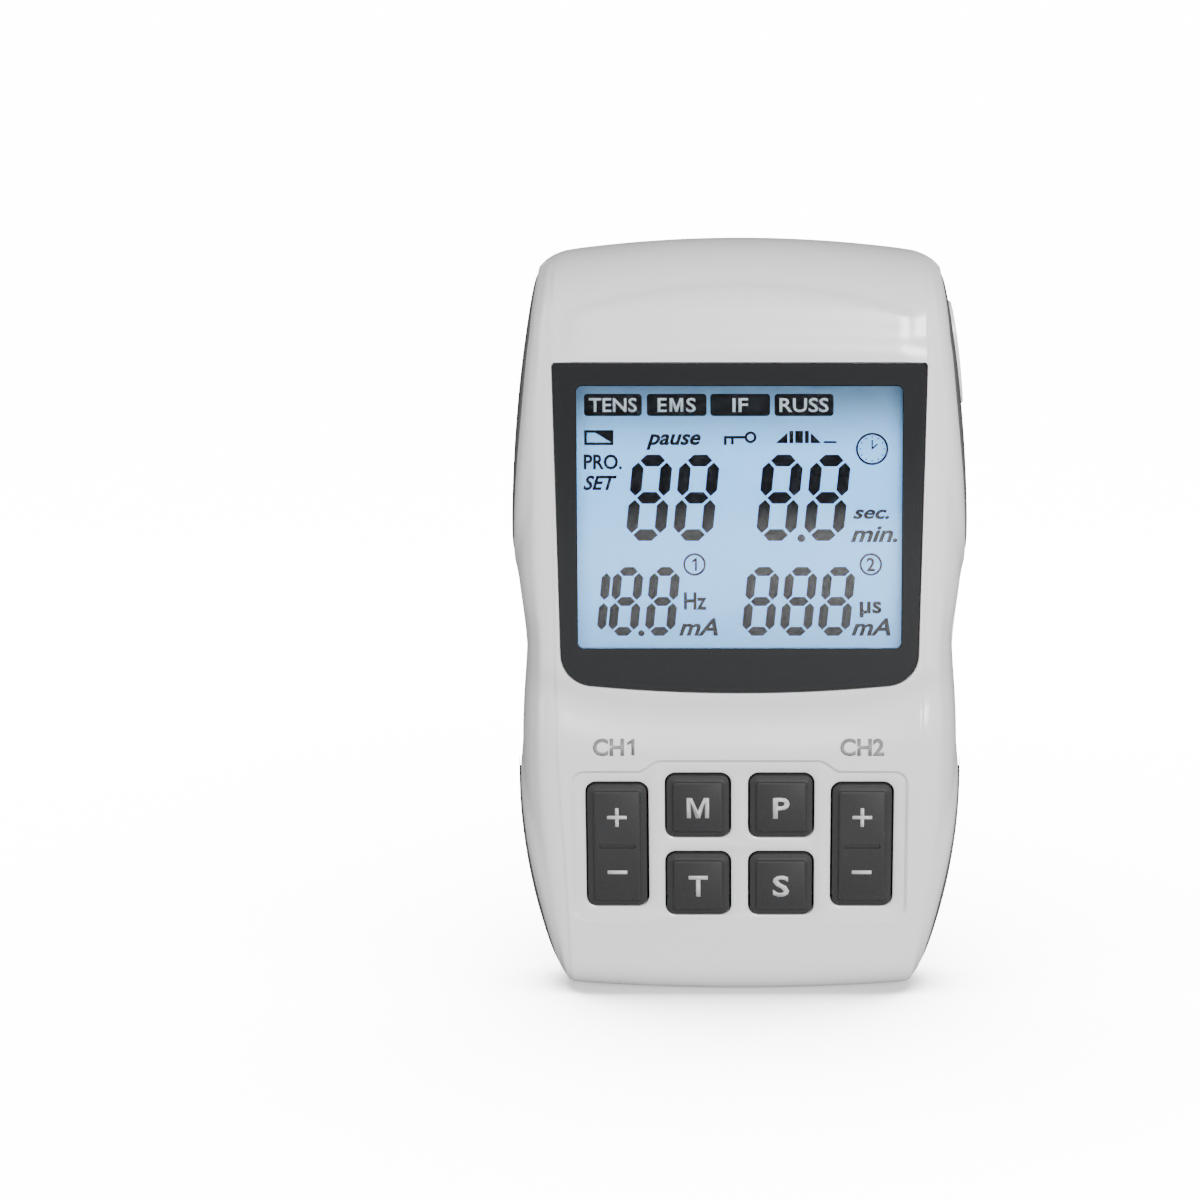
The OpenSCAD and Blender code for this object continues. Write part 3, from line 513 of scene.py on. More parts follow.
nodeLooks = {
    "lcd_frame": ivoryFrame, "backlight_panel": guide, "lcd_connector": pink, "main_board": board,
    "microcontroller": chip, "board_parts": smallParts, "output_transformers": copper, "buzzer": chip,
    "key_board": board, "board_header": chip, "key_mat": mat, "power_switch": switchMetal,
    "power_board": board,
    "output_socket_1": socketBlack, "output_socket_2": socketBlack, "socket_contacts": gold,
    "charging_socket": steel, "battery_pack": wrap, "battery_contacts": gold, "housing_screws": screwSteel,
    "board_screws": screwSteel, "clip_screws": screwSteel, "clip_pin": springSteel,
    "clip_spring": springSteel,
}
for nodeName, look in nodeLooks.items():
    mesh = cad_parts[nodeName].data
    mesh.materials.clear()
    mesh.materials.append(look)


def shellGrid(front):
    rows = frontRows if front else rearRows
    step = 0.6
    d = np.concatenate([[0], np.cumsum(np.linalg.norm(np.diff(rows, axis=0), axis=1))])
    s = np.linspace(0, d[-1], int(d[-1] / step) + 1)
    yo, zo = np.interp(s, d, rows[:, 0]), np.interp(s, d, rows[:, 1])
    if front:
        share = np.concatenate([np.linspace(0, 1, 40)[:-1], 1 + np.linspace(0, 1, 6)[:-1],
                                2 + np.sin(np.linspace(0, math.pi / 2, 30))])
    else:
        share = np.concatenate([np.linspace(0, 1, 36)[:-1], 2 + np.sin(np.linspace(0, math.pi / 2, 30))])
    share = np.concatenate([-share[:0:-1], share])
    a = np.abs(share)[None, :]
    yy, zz = np.repeat(yo[:, None], len(share), 1), np.repeat(zo[:, None], len(share), 1)
    endZ = rowEnd(zz)
    w = silhouetteX(endZ)
    edge = np.minimum(creaseAt(endZ), w - 1.2) if front else w - rearRound
    if front:
        x = np.where(a <= 1, a * (edge - 0.35), np.where(a <= 2, edge - 0.35 + (a - 1) * 0.7,
                     edge + 0.35 + (a - 2) * (w - edge - 0.35)))
    else:
        x = np.where(a <= 1, a * edge, edge + (a - 2) * (w - edge))
    fall = np.where(zz > 60, edgeFall(x / w, topCorner, body["crownRadius"]),
                    edgeFall(x / w, lowCorner, body["soleRadius"]))
    z = zz + (endZ - zz) * fall
    if front:
        lift = body["valleyLift"] * np.clip(x / 28, 0, 1.05) ** 4
        z = z + lift * smooth((zz - 33) / 13) * smooth((66 - zz) / 16)
    t = np.clip((x - edge) / (w - edge), 0, 1)
    if front:
        y = yy * sectionFront(t)
        y += body["creaseStep"] * smooth((x - edge + 0.3) / 0.6) * smooth((1 - t) * 6)
        # a soft step where the face turns into the top
        arcZ = 113.4 - 4.6 * (x / 28) ** 2
        y -= 0.5 * smooth((arcZ - z) / 1.1 + 0.5) * smooth((28 - x) / 3) * smooth((zz - 96) / 13)
    else:
        y = yy * sectionRear(t)
    side = smooth((t - 0.35) / 0.4)
    near = gripDistance(y, z)
    fall = smooth((near - 1.4) / 3.2)
    away = smooth(np.abs(y) / 2.5) * 0.6 + 0.4
    x = x - body["podHeight"] * fall * side * away
    x = x * np.sign(share)[None, :]
    pts = np.stack([x, y, z], 2).reshape(-1, 3)
    return pts, len(yo), len(share)


def shellSolid(front, thick):
    # the outer skin and a copy drawn in by the wall, closed along the parting line
    pts, rows, cols = shellGrid(front)
    g = pts.reshape(rows, cols, 3)
    du, dv = np.gradient(g, axis=0), np.gradient(g, axis=1)
    n = np.cross(du, dv)
    n /= np.linalg.norm(n, axis=2, keepdims=True) + 1e-12
    outward = np.array([0, -1, 0]) if front else np.array([0, 1, 0])
    if np.dot(n[rows // 2, cols // 2], outward) < 0:
        n = -n
    for corner, at in ((topCorner, g[..., 2] > 109), (lowCorner, g[..., 2] < 7)):
        # rows and columns meet here, so the skin is drawn in towards the corner's own centre
        away = g - np.stack([np.sign(g[..., 0]) * corner["x"] * 0.96, g[..., 1] * 0.4,
                             np.full(g.shape[:2], corner["z"])], 2)
        away /= np.linalg.norm(away, axis=2, keepdims=True) + 1e-12
        at = at & (np.abs(g[..., 0]) > corner["x"])
        n = np.where(at[..., None], away, n)
    inner = g - n * thick
    limit = -0.001 if front else 0.001
    inner[..., 1] = np.minimum(inner[..., 1], limit) if front else np.maximum(inner[..., 1], limit)
    rim = np.zeros((rows, cols), bool)
    rim[0], rim[-1], rim[:, 0], rim[:, -1] = True, True, True, True
    inner[rim, 1] = 0
    allPts = np.concatenate([g.reshape(-1, 3), inner.reshape(-1, 3)])
    m = rows * cols
    faces = gridFaces(rows, cols) + gridFaces(rows, cols, m, flip=True)
    ring = ([(0, j) for j in range(cols)] + [(i, cols - 1) for i in range(1, rows)]
            + [(rows - 1, j) for j in range(cols - 2, -1, -1)] + [(i, 0) for i in range(rows - 2, 0, -1)])
    ids = [i * cols + j for i, j in ring]
    for k in range(len(ids)):
        p, q = ids[k], ids[(k + 1) % len(ids)]
        faces.append((q, p, p + m, q + m))
    return allPts, faces


def lensOutline(grow=0.0, n=9):
    # half width tapers down from square top corners; the bottom edge sags in the middle
    w, h, r, k, sag = screen["half"], screen["top"], screen["corner"], screen["taper"], screen["sag"]
    low = [(x, sag * (x / (w - k)) ** 2) for x in np.linspace(-(w - k - r), w - k - r, 15)]
    cz = low[-1][1] + r
    right = [(w - k - r + r * math.sin(a), cz - r * math.cos(a)) for a in np.linspace(0.12, math.pi / 2, n)]
    pts = low + right + [(w - 0.35, h - 0.35), (w - 0.6, h)] + [(-(w - 0.6), h), (-(w - 0.35), h - 0.35)]
    pts += [(-x, z) for x, z in right[::-1]]
    return grown(pts, grow) if grow else np.array(pts)


windowPts = roundRect(screen["windowW"], screen["windowH"], 0.9, 5, 0,
                      screen["top"] - screen["drop"] - screen["windowH"] / 2)


def recessOutline():
    # a wide panel with rounded corners, stepping up to a taller middle
    x, low, side, high, turn, r = 26.05, -12.35, 11.95, 13.75, 12.45, 1.7
    pts = [(x - r + r * math.sin(t), low + r - r * math.cos(t)) for t in np.linspace(0, math.pi / 2, 6)]
    pts += [(x - r + r * math.cos(t), side - r + r * math.sin(t)) for t in np.linspace(0, math.pi / 2, 6)]
    ramp = np.linspace(0, 1, 7)
    pts += [(turn + 3.4 - 3.4 * t, side + (high - side) * (3 * t * t - 2 * t ** 3)) for t in ramp]
    return pts + [(-u, v) for u, v in pts[::-1]]


def keySpots():
    h = keypad["pitch"] / 2
    return [("mode_key", -h, h, "M"), ("program_key", h, h, "P"), ("time_key", -h, -h, "T"),
            ("set_key", h, -h, "S")]


def buttonOutline(scale=0.0, n=64):
    # an egg with its narrow end down, in y and z round its wide part's centre
    pts = []
    for i in range(n):
        a = 2 * math.pi * i / n
        s, c = math.sin(a), math.cos(a)
        length = 4.9 if c > 0 else 11.3
        wide = 4.65 * (1 if c > 0 else (1 - 0.30 * (-c) ** 1.5))
        pts.append((3.65 + wide * (abs(s) ** 0.96) * (1 if s >= 0 else -1), 105.3 + length * c))
    return grown(pts, scale) if scale else np.array(pts)


buttonProud, buttonGap = 1.05, 0.22


def overButton(a, d, b):
    # d out from the button's face, which follows the side of the body
    return (float(halfWidth(b)) + buttonProud + d, a, b)


def buttonHole():
    return cutter([loft(buttonOutline(), [(-9, buttonGap), (3, buttonGap)], overButton)])


boltSpots = [(21.0, 106.2), (-21.0, 106.2), (26.2, 12.5), (-26.2, 12.5)]


def prismY(outline, y0, y1):
    return loft(outline, [(y0, 0), (y1, 0)], lambda a, d, b: (a, d, b))


socketLean = 27  # degrees back from upright


def topLine(x, r, d0, d1, n=28):
    # a round tool along a lead socket's axis, which leans back through the top end
    a, pts = math.radians(socketLean), []
    topY, topZ, _ = ends["top"]
    for d in (d0, d1):
        for i in range(n):
            b = 2 * math.pi * i / n
            u, v = r * math.cos(b), r * math.sin(b)
            pts.append((x + u, topY + d * math.sin(a) + v * math.cos(a),
                        topZ + d * math.cos(a) - v * math.sin(a)))
    return pts, tubeFaces(n, 2) + [tuple(range(n)), tuple(range(2 * n - 1, n - 1, -1))]


pts, faces = shellSolid(True, body["wall"])
frontShell = piece("frontShell", pts, faces, white, "housing", "white_housing", ("front_housing",), soft=None)
tools = [cutter([loft(lensOutline(), [(-4, 0.45), (-0.35, 0.30), (0.15, 0.12), (1.25, 0.12)], onScreen)]),
         cutter([loft(windowPts, [(0, 0.5), (6, 0.5)], onScreen)]),
         cutter([loft(recessOutline(), [(-5, 0.55), (-keypad["recess"] - 0.05, 0.62), (-0.1, 0.06), (0, 0)],
                      onKeypad)])]
mouth = [(-4, 1.1), (-0.02, 0.72), (0.16, 0.36), (0.5, 0.3), (7, 0.3)]
for _, kx, kz, _ in keySpots():
    tools.append(cutter([loft(roundRect(keypad["keyW"], keypad["keyH"], keypad["corner"], 7, kx, kz), mouth,
                              onKeypad)]))
for sx in (-1, 1):
    tools.append(cutter([loft(roundRect(keypad["rockerW"], keypad["rockerH"], keypad["corner"], 7,
                                        sx * keypad["rockerX"], 0), mouth, onKeypad)]))
carve(frontShell, tools + [buttonHole()])
dress(frontShell, white, "housing", "white_housing", (), 32)
print("front shell", len(frontShell.data.polygons))

pts, faces = shellSolid(False, body["wall"])
rearShell = piece("rearShell", pts, faces, white, "housing", "white_housing", ("rear_housing",), soft=None)


def doorOutline(grow):
    w, top = 22.5, 43.0
    pts = [(-w, -6), (w, -6)] + [(w - 3 + 3 * math.cos(a), top - 3 + 3 * math.sin(a))
                                for a in np.linspace(0, math.pi / 2, 8)]
    pts += [(-w + 3 + 3 * math.cos(a), top - 3 + 3 * math.sin(a))
            for a in np.linspace(math.pi / 2, math.pi, 8)]
    return grown(pts, grow) if grow else np.array(pts)


outline = roundRect(42.6, 31.6, 1.8, 5, 0, 8.8 + 15.5)
tools = [cutter([loft(doorOutline(0), [(-1.7, 0.2), (0.0, 0.2), (6, 0.3)], onBack)]),
         cutter([prismY(outline, 0.5, 30)])]
for bx, bz in boltSpots:
    tools.append(cutter([prismY([(bx + 2.3 * math.cos(a), bz + 2.3 * math.sin(a))
                                 for a in np.linspace(0, 2 * math.pi, 29)[:-1]], 3, 30)]))
for sx in (-12, 12):
    tools.append(cutter([topLine(sx, 3.45, 8, 16)]))
tools.append(cutter([loft(roundRect(8.0, 3.2, 1.2, 5, 0, 1.1), [(-3, 0.3), (0.5, 0), (5, 0)],
                          lambda a, d, b: (a, b, d))]))
carve(rearShell, tools + [buttonHole()])
dress(rearShell, white, "housing", "white_housing", (), 32)
print("rear shell", len(rearShell.data.polygons))

# Posts behind the screw holes, each with a seat for its screw
backSkin, posts = BVHTree.FromObject(rearShell, bpy.context.evaluated_depsgraph_get()), []
for bx, bz in boltSpots:
    seat = 9.5 if bz > 60 else 6.2
    around = [Vector(metres([(bx + 3.1 * math.cos(a), 40, bz + 3.1 * math.sin(a))])[0])
              for a in np.linspace(0, 2 * math.pi, 13)[:-1]]
    skinY = min(backSkin.ray_cast(v, Vector((0, -1, 0)))[0].y * 1000 - partingY for v in around)
    rings = [(3.1, 1.0), (3.1, skinY - 0.7), (2.34, skinY - 0.7), (2.34, seat), (1.3, seat), (1.3, 1.0)]
    turns = np.linspace(0, 2 * math.pi, 33)[:-1]
    postPts = [(bx + r * math.cos(a), y, bz + r * math.sin(a)) for r, y in rings for a in turns]
    posts.append((postPts, tubeFaces(32, 6, closed=True)))
piece("screwPosts", *joined(posts), white, "housing", "white_housing", soft=35)

pts, faces = shellSolid(False, 1.5)
batteryDoor = piece("batteryDoor", pts, faces, white, "battery_door", "white_housing", ("battery_door",),
                    soft=None)
carve(batteryDoor, [cutter([loft(doorOutline(0), [(-4, 0), (8, 0)], onBack)])], "INTERSECT")
dress(batteryDoor, white, "battery_door", "white_housing", (), 32)
print("battery door", len(batteryDoor.data.polygons))

# Ribs for the thumb on the battery door
ribs = [loft(roundRect(16, 0.7, 0.34, 4, 0, 30 + 2.2 * i), [(-0.3, 0.1), (0.25, 0.05), (0.36, -0.15)], onBack)
        for i in range(5)]
piece("doorRibs", *joined(ribs), white, "battery_door", "white_housing")

border = lensOutline(-0.02)
ring = []
for depth, growth in ((1.2, 0), (0.12, 0), (0.0, -0.12)):
    ring += [onScreen(a, depth, b) for a, b in grown(border, growth)]
nb = len(border)
ringFaces = tubeFaces(nb, 3) + [tuple(range(2 * nb, 3 * nb)), tuple(range(nb))]
lens = piece("lensBorder", ring, ringFaces, lensBlack, "housing", "black_lens", ("display_lens", "lens_tape"),
             soft=None)
carve(lens, [cutter([loft(windowPts, [(-1, 0.05), (0.0, 0.05), (0.25, -0.05), (3, -0.05)], onScreen)])])
dress(lens, lensBlack, "housing", "black_lens", (), 30)

pane = loft(windowPts, [(0.75, -0.06), (0.10, -0.06)], onScreen)
piece("windowPane", *pane, clearPane, "housing", "black_lens")

lcd = {"middleZ": screen["top"] - screen["drop"] - screen["windowH"] / 2, "depth": 1.55,
       "inkDepth": 1.49, "glow": 0.8, "tone": (0.21, 0.60, 1.15)}


def lcdMaterial():
    # pale blue, brighter towards the bottom; a dark band at the top and dimmer sides are painted shade
    # standing in for the lens border's shadow, and the very bottom is a little dimmer
    m = finish("lcdFace", colours["lcd"], rough=0.35, tint=0.02, bump=0.0)
    tree, shader = m.node_tree, m.node_tree.nodes["Principled BSDF"]
    spot = tree.nodes.new("ShaderNodeTexCoord").outputs["Generated"]
    split = wired(tree, "ShaderNodeSeparateXYZ", {0: spot})

    def band(axis, lowEdge, highEdge, lowValue, highValue):
        return wired(tree, "ShaderNodeMapRange",
                     {"Value": split.outputs[axis], "From Min": lowEdge, "From Max": highEdge,
                      "To Min": lowValue,
                      "To Max": highValue}, interpolation_type="SMOOTHSTEP").outputs["Result"]

    def times(a, b):
        return wired(tree, "ShaderNodeMath", {0: a, 1: b}, operation="MULTIPLY").outputs[0]

    # painted shade: the top band and the sides are darkened, and the very bottom is dimmed a little
    light = times(band("Z", 0.70, 0.98, 1.0, 0.2), band("Z", 0.0, 0.3, 0.72, 1.0))
    light = times(light, times(band("X", 0.0, 0.07, 0.62, 1.0), band("X", 0.93, 1.0, 1.0, 0.62)))
    tone = wired(tree, "ShaderNodeVectorMath", {0: lcd["tone"], "Scale": light}, operation="SCALE").outputs[0]
    tree.links.new(tone, shader.inputs["Emission Color"])
    tree.links.new(tone, shader.inputs["Base Color"])
    shader.inputs["Emission Strength"].default_value = lcd["glow"]
    return m


face = roundRect(screen["windowW"] + 1.6, screen["windowH"] + 1.6, 0.9, 4, 0, lcd["middleZ"])
piece("lcdFace", *loft(face, [(lcd["depth"] + 1.2, 0), (lcd["depth"], 0)], onScreen), lcdMaterial(),
      "housing",
      "lcd_glass", ("lcd_glass",))


def onLcd(depth=None):
    def place(a, d, b):
        return onScreen(a, (lcd["inkDepth"] if depth is None else depth) - d, lcd["middleZ"] + b)
    return place


def slab(points, thick=0.04, place=None):
    return loft(np.array(points, float), [(0, 0), (thick, 0)], place or onLcd())


def digit(x, z, w, h, pen, lean=0.1, segments="abcdefg"):
    g, half = pen * 0.16, h / 2
    inner = half - pen / 2

    def bar(cx, cz, length, upright):
        t, e = pen / 2, length / 2 - g
        pts = [(-e, 0), (-e + t, -t), (e - t, -t), (e, 0), (e - t, t), (-e + t, t)]
        placed = [(cx + b, cz + a) if upright else (cx + a, cz + b) for a, b in pts]
        return [(u + lean * v, v) for u, v in placed]
    ex, ez = w / 2 - pen / 2, half / 2 - pen / 4
    shapes = {"a": (0, inner, w - pen, False), "g": (0, 0, w - pen, False), "d": (0, -inner, w - pen, False),
              "b": (ex, ez, inner, True), "c": (ex, -ez, inner, True), "f": (-ex, ez, inner, True),
              "e": (-ex, -ez, inner, True)}
    return [slab([(x + a, z + b) for a, b in bar(*shapes[s])]) for s in segments]


def disc(x, z, r, n=24):
    return [(x + r * math.cos(2 * math.pi * i / n), z + r * math.sin(2 * math.pi * i / n)) for i in range(n)]


def ringOf(x, z, r, pen, a0=0, a1=360, n=40, thick=0.04, place=None):
    pts, faces = [], []
    place = place or onLcd()
    for i in range(n + 1):
        a = math.radians(a0 + (a1 - a0) * i / n)
        for rr, d in ((r - pen / 2, 0), (r - pen / 2, thick), (r + pen / 2, thick), (r + pen / 2, 0)):
            pts.append(place(x + rr * math.cos(a), d, z + rr * math.sin(a)))
    for i in range(n):
        for k in range(4):
            faces.append((i * 4 + k, i * 4 + (k + 1) % 4, i * 4 + 4 + (k + 1) % 4, i * 4 + 4 + k))
    return pts, faces + [(0, 1, 2, 3), (n * 4, n * 4 + 1, n * 4 + 2, n * 4 + 3)]


parts = []
for cx, w in ((-14.2, 6.2), (-6.9, 6.2), (6.2, 6.2), (13.6, 6.2)):
    parts += digit(cx + (0.2 if cx < 0 else 0), 3.0, w, 13.4, 1.8)
parts.append(slab(disc(9.6, -3.3, 0.62, 14)))
for cx in (-17.7, -12.0):
    parts += digit(cx, -13.2, 4.7, 10.8, 1.4)
parts += digit(-21.9, -13.2, 3.0, 10.8, 1.4, segments="bc")
parts.append(slab(disc(-15.3, -18.2, 0.5, 12)))
for cx in (3.3, 9.2, 15.1):
    parts += digit(cx, -13.2, 5.0, 10.8, 1.4)
for x0, x1 in ((-24.0, -15.1), (-14.3, -5.1), (-4.5, 4.7), (5.4, 14.5)):
    parts.append(slab(roundRect(x1 - x0, 3.4, 0.5, 4, (x0 + x1) / 2, 17.4)))
# battery, key, ramp and clock signs, as upright or flat bars from x0, x1, z0 and z1, and a few slanted ones
for x0, x1, z0, z1 in ((-24, -23.6, 11.3, 13.4), (-24, -19.5, 13.1, 13.5), (-24, -19.5, 11.2, 11.6),
                       (-2.4, 1.0, 12.2, 12.6), (-2.4, -2.0, 11.2, 12.4), (-1.3, -0.9, 11.3, 12.4),
                       (7.7, 8.3, 11.5, 13.4), (8.6, 9.8, 11.5, 13.4), (10.1, 10.7, 11.5, 13.4),
                       (13.0, 15.0, 11.5, 11.8), (20.4, 20.6, 10.6, 12.0)):
    parts.append(slab([(x0, z0), (x1, z0), (x1, z1), (x0, z1)]))
parts += [slab([(-22.6, 13.3), (-19.5, 11.4), (-19.5, 13.3)]), slab([(5.6, 11.5), (7.4, 11.5), (7.4, 13.1)]),
          slab([(11.0, 11.5), (12.6, 11.5), (11.0, 13.1)]),
          slab([(20.5, 10.5), (21.4, 11.3), (21.3, 11.45), (20.4, 10.7)]),
          ringOf(1.7, 12.4, 0.72, 0.38), ringOf(20.5, 10.6, 2.35, 0.3)]
for k in range(12):
    a = math.radians(30 * k)
    parts.append(slab(disc(20.5 + 1.85 * math.cos(a), 10.6 + 1.85 * math.sin(a), 0.12, 6)))
for x in (-7.0, 20.4):
    parts.append(ringOf(x, -7.4, 1.6, 0.3))
piece("lcdSegments", *joined(parts), ink, "housing", "lcd_glass", soft=None)


capHeight = 0.694  # of a capital letter in a word of size 1


def lettering(name, words, material, bodyName, slot, place, thick=0.04):
    # each word: text, x and height of its baseline's middle, letter height, slant, width to fit, weight
    allParts = []
    for text, x, z, size, slant, width, weight in words:
        curve = bpy.data.curves.new("word", "FONT")
        curve.body, curve.size, curve.align_x, curve.shear = text, 1.0, "CENTER", slant
        curve.offset, curve.resolution_u = weight, 3
        obj = bpy.data.objects.new("word", curve)
        bpy.context.scene.collection.objects.link(obj)
        mesh = bpy.data.meshes.new_from_object(obj.evaluated_get(bpy.context.evaluated_depsgraph_get()))
        bpy.data.objects.remove(obj)
        co = np.array([v.co[:2] for v in mesh.vertices])
        low, high = co.min(0), co.max(0)
        scaleZ = size / capHeight
        scaleX = width / (high[0] - low[0]) if width else scaleZ
        co = (co - [(low[0] + high[0]) / 2, 0]) * [scaleX, scaleZ] + [x, z]
        n = len(co)
        pts = [place(a, 0, b) for a, b in co] + [place(a, thick, b) for a, b in co]
        faces = [tuple(p.vertices) for p in mesh.polygons]
        count = {}
        for f in faces:
            for i in range(len(f)):
                e = (f[i], f[(i + 1) % len(f)])
                count[e] = count.get(e, 0) + 1
        sides = [(b, a, a + n, b + n) for a, b in count if (b, a) not in count]
        allParts.append((pts, [f[::-1] for f in faces] + [tuple(i + n for i in f) for f in faces] + sides))
    return piece(name, *joined(allParts), material, bodyName, slot, soft=None)


def bigM(x, z, w, h, stem, place, thick):
    # outline of a capital M standing on z
    inner, low = w / 2 - stem * 1.25, h * 0.34
    right = [(w / 2, 0), (w / 2, h), (inner, h), (0.0, low)]
    left = [(-inner, h), (-w / 2, h), (-w / 2, 0), (stem - w / 2, 0), (stem - w / 2, h * 0.74),
            (-stem * 0.52, 0),
            (stem * 0.52, 0), (w / 2 - stem, h * 0.74), (w / 2 - stem, 0)]
    return slab([(x + a, z + b) for a, b in right + left], thick, place)


def figureOne(x, z, w, h, stem, place, thick):
    pts = [(w / 2 - stem, 0), (w / 2, 0), (w / 2, h), (w / 2 - stem * 0.75, h), (-w / 2, h * 0.78),
           (-w / 2, h * 0.62),
           (w / 2 - stem, h * 0.76)]
    return slab([(x + a, z + b) for a, b in pts], thick, place)


lettering("lcdWords", [("pause", -10.2, 11.3, 2.3, 0.3, 8.4, 0.026),
                       ("PRO.", -21.15, 7.5, 2.2, 0, 5.9, 0.022),
                       ("SET", -21.6, 4.3, 2.1, 0.3, 5.2, 0.026), ("sec.", 20.4, -0.2, 2.0, 0.3, 5.6, 0.026),
                       ("min.", 20.9, -3.8, 2.5, 0.3, 7.2, 0.026),
                       ("2", 20.4, -8.4, 2.0, 0, 1.3, 0.022), ("Hz", -6.9, -14.4, 2.6, 0, 3.5, 0.026),
                       ("mA", -6.4, -18.5, 2.6, 0.3, 6.1, 0.026), ("µs", 20.4, -15.0, 2.6, 0, 3.4, 0.026),
                       ("mA", 20.5, -18.5, 2.6, 0.3, 6.1, 0.026)],
          ink, "housing", "lcd_glass", onLcd())
onPill = onLcd(lcd["inkDepth"] - 0.04)
lettering("lcdModeWords", [(text, x, 16.35, 2.1, 0, width, 0.014) for text, x, width in (
    ("TENS", -19.55, 7.4), ("E", -11.95, 1.4), ("S", -7.5, 1.5), ("IF", 0.1, 2.4), ("RUSS", 9.95, 7.6))],
          pillText, "housing", "lcd_glass", onPill, thick=0.03)
piece("lcdModeM", *bigM(-9.75, 16.35, 2.1, 2.1, 0.42, onPill, 0.03), pillText, "housing", "lcd_glass",
      soft=None)
piece("lcdFigureOne", *figureOne(-7.0, -8.4, 0.75, 2.0, 0.3, onLcd(), 0.04), ink, "housing", "lcd_glass",
      soft=None)
print("screen ready")

keyTop = -keypad["proud"]


def keyCap(w, h, x, z):
    outline = roundRect(w, h, keypad["corner"], 8, x, z)
    return loft(outline, [(2.6, 0), (keyTop + 0.72, 0), (keyTop + 0.56, -0.05), (keyTop + 0.47, -0.18),
                          (keyTop + 0.40, -0.78), (keyTop + 0.36, -0.88), (keyTop + 0.05, -1.08),
                          (keyTop, -1.20)], onKeypad)


def onKeyTop(a, d, b):
    return onKeypad(a, keyTop - d, b)


for nodeName, kx, kz, letter in keySpots():
    piece(nodeName + "_cap", *keyCap(keypad["keyW"], keypad["keyH"], kx, kz), keyRubber, nodeName, "grey_key",
          (nodeName,), soft=24)
    if letter == "M":
        piece(nodeName + "_letter", *bigM(kx, kz - 1.75, 3.5, 3.35, 0.66, onKeyTop, 0.03), legend, nodeName,
              "grey_key",
              soft=None)
    else:
        lettering(nodeName + "_letter", [(letter, kx, kz - 1.75, 3.35, 0, 3.0 if letter == "T" else 2.6,
                                          0.02)],
                  legend, nodeName, "grey_key", onKeyTop, 0.03)
for side, nodeName in ((-1, "rocker_ch1"), (1, "rocker_ch2")):
    rx = side * keypad["rockerX"]
    cap = piece(nodeName + "_cap", *keyCap(keypad["rockerW"], keypad["rockerH"], rx, 0), keyRubber, nodeName,
                "grey_key", (nodeName,), soft=24)
    carve(cap, [cutter([loft(roundRect(5.6, 0.42, 0.18, 3, rx, 0), [(keyTop - 1, 0.25), (keyTop + 0.02, 0.12),
                                                                   (keyTop + 0.28, -0.02)], onKeypad)])])
    dress(cap, keyRubber, nodeName, "grey_key", (), 24)
    signs = [slab(roundRect(w, h, 0.1, 3, rx + dx, dz), 0.03, onKeyTop)
             for w, h, dx, dz in ((3.1, 0.55, 0, 4.9), (0.55, 1.32, 0, 5.8), (0.55, 1.32, 0, 4.0),
                                  (3.1, 0.6, 0, -4.3))]
    piece(nodeName + "_signs", *joined(signs), legend, nodeName, "grey_key", soft=None)


skin = BVHTree.FromObject(frontShell, bpy.context.evaluated_depsgraph_get())


def onFace(a, d, b):
    # printed on the front shell above the recess, wherever its skin is
    start = Vector(metres([(a, -30, b)])[0])
    hit = skin.ray_cast(start, Vector((0, 1, 0)))[0]
    return (a, hit.y * 1000 - partingY - 0.07 - d, b)


lettering("channelLabels", [("CH", -20.5, 40.5, 2.55, 0, 4.9, 0.03), ("CH2", 19.2, 40.5, 2.55, 0, 6.9, 0.03)],
          label, "housing", "white_housing", onFace, 0.04)
piece("channelFigureOne", *figureOne(-17.0, 40.5, 1.15, 2.55, 0.5, onFace, 0.04), label, "housing",
      "white_housing",
      soft=None)


def drawnIn(g, d):
    # the same leaf drawn in by d all round
    inner = dict(g)
    inner["half"] = g["half"] - d
    inner["tip"] = (g["tip"][0], g["tip"][1] + 1.7 * d)
    inner["end"] = (g["end"][0], g["end"][1] - d)
    return inner


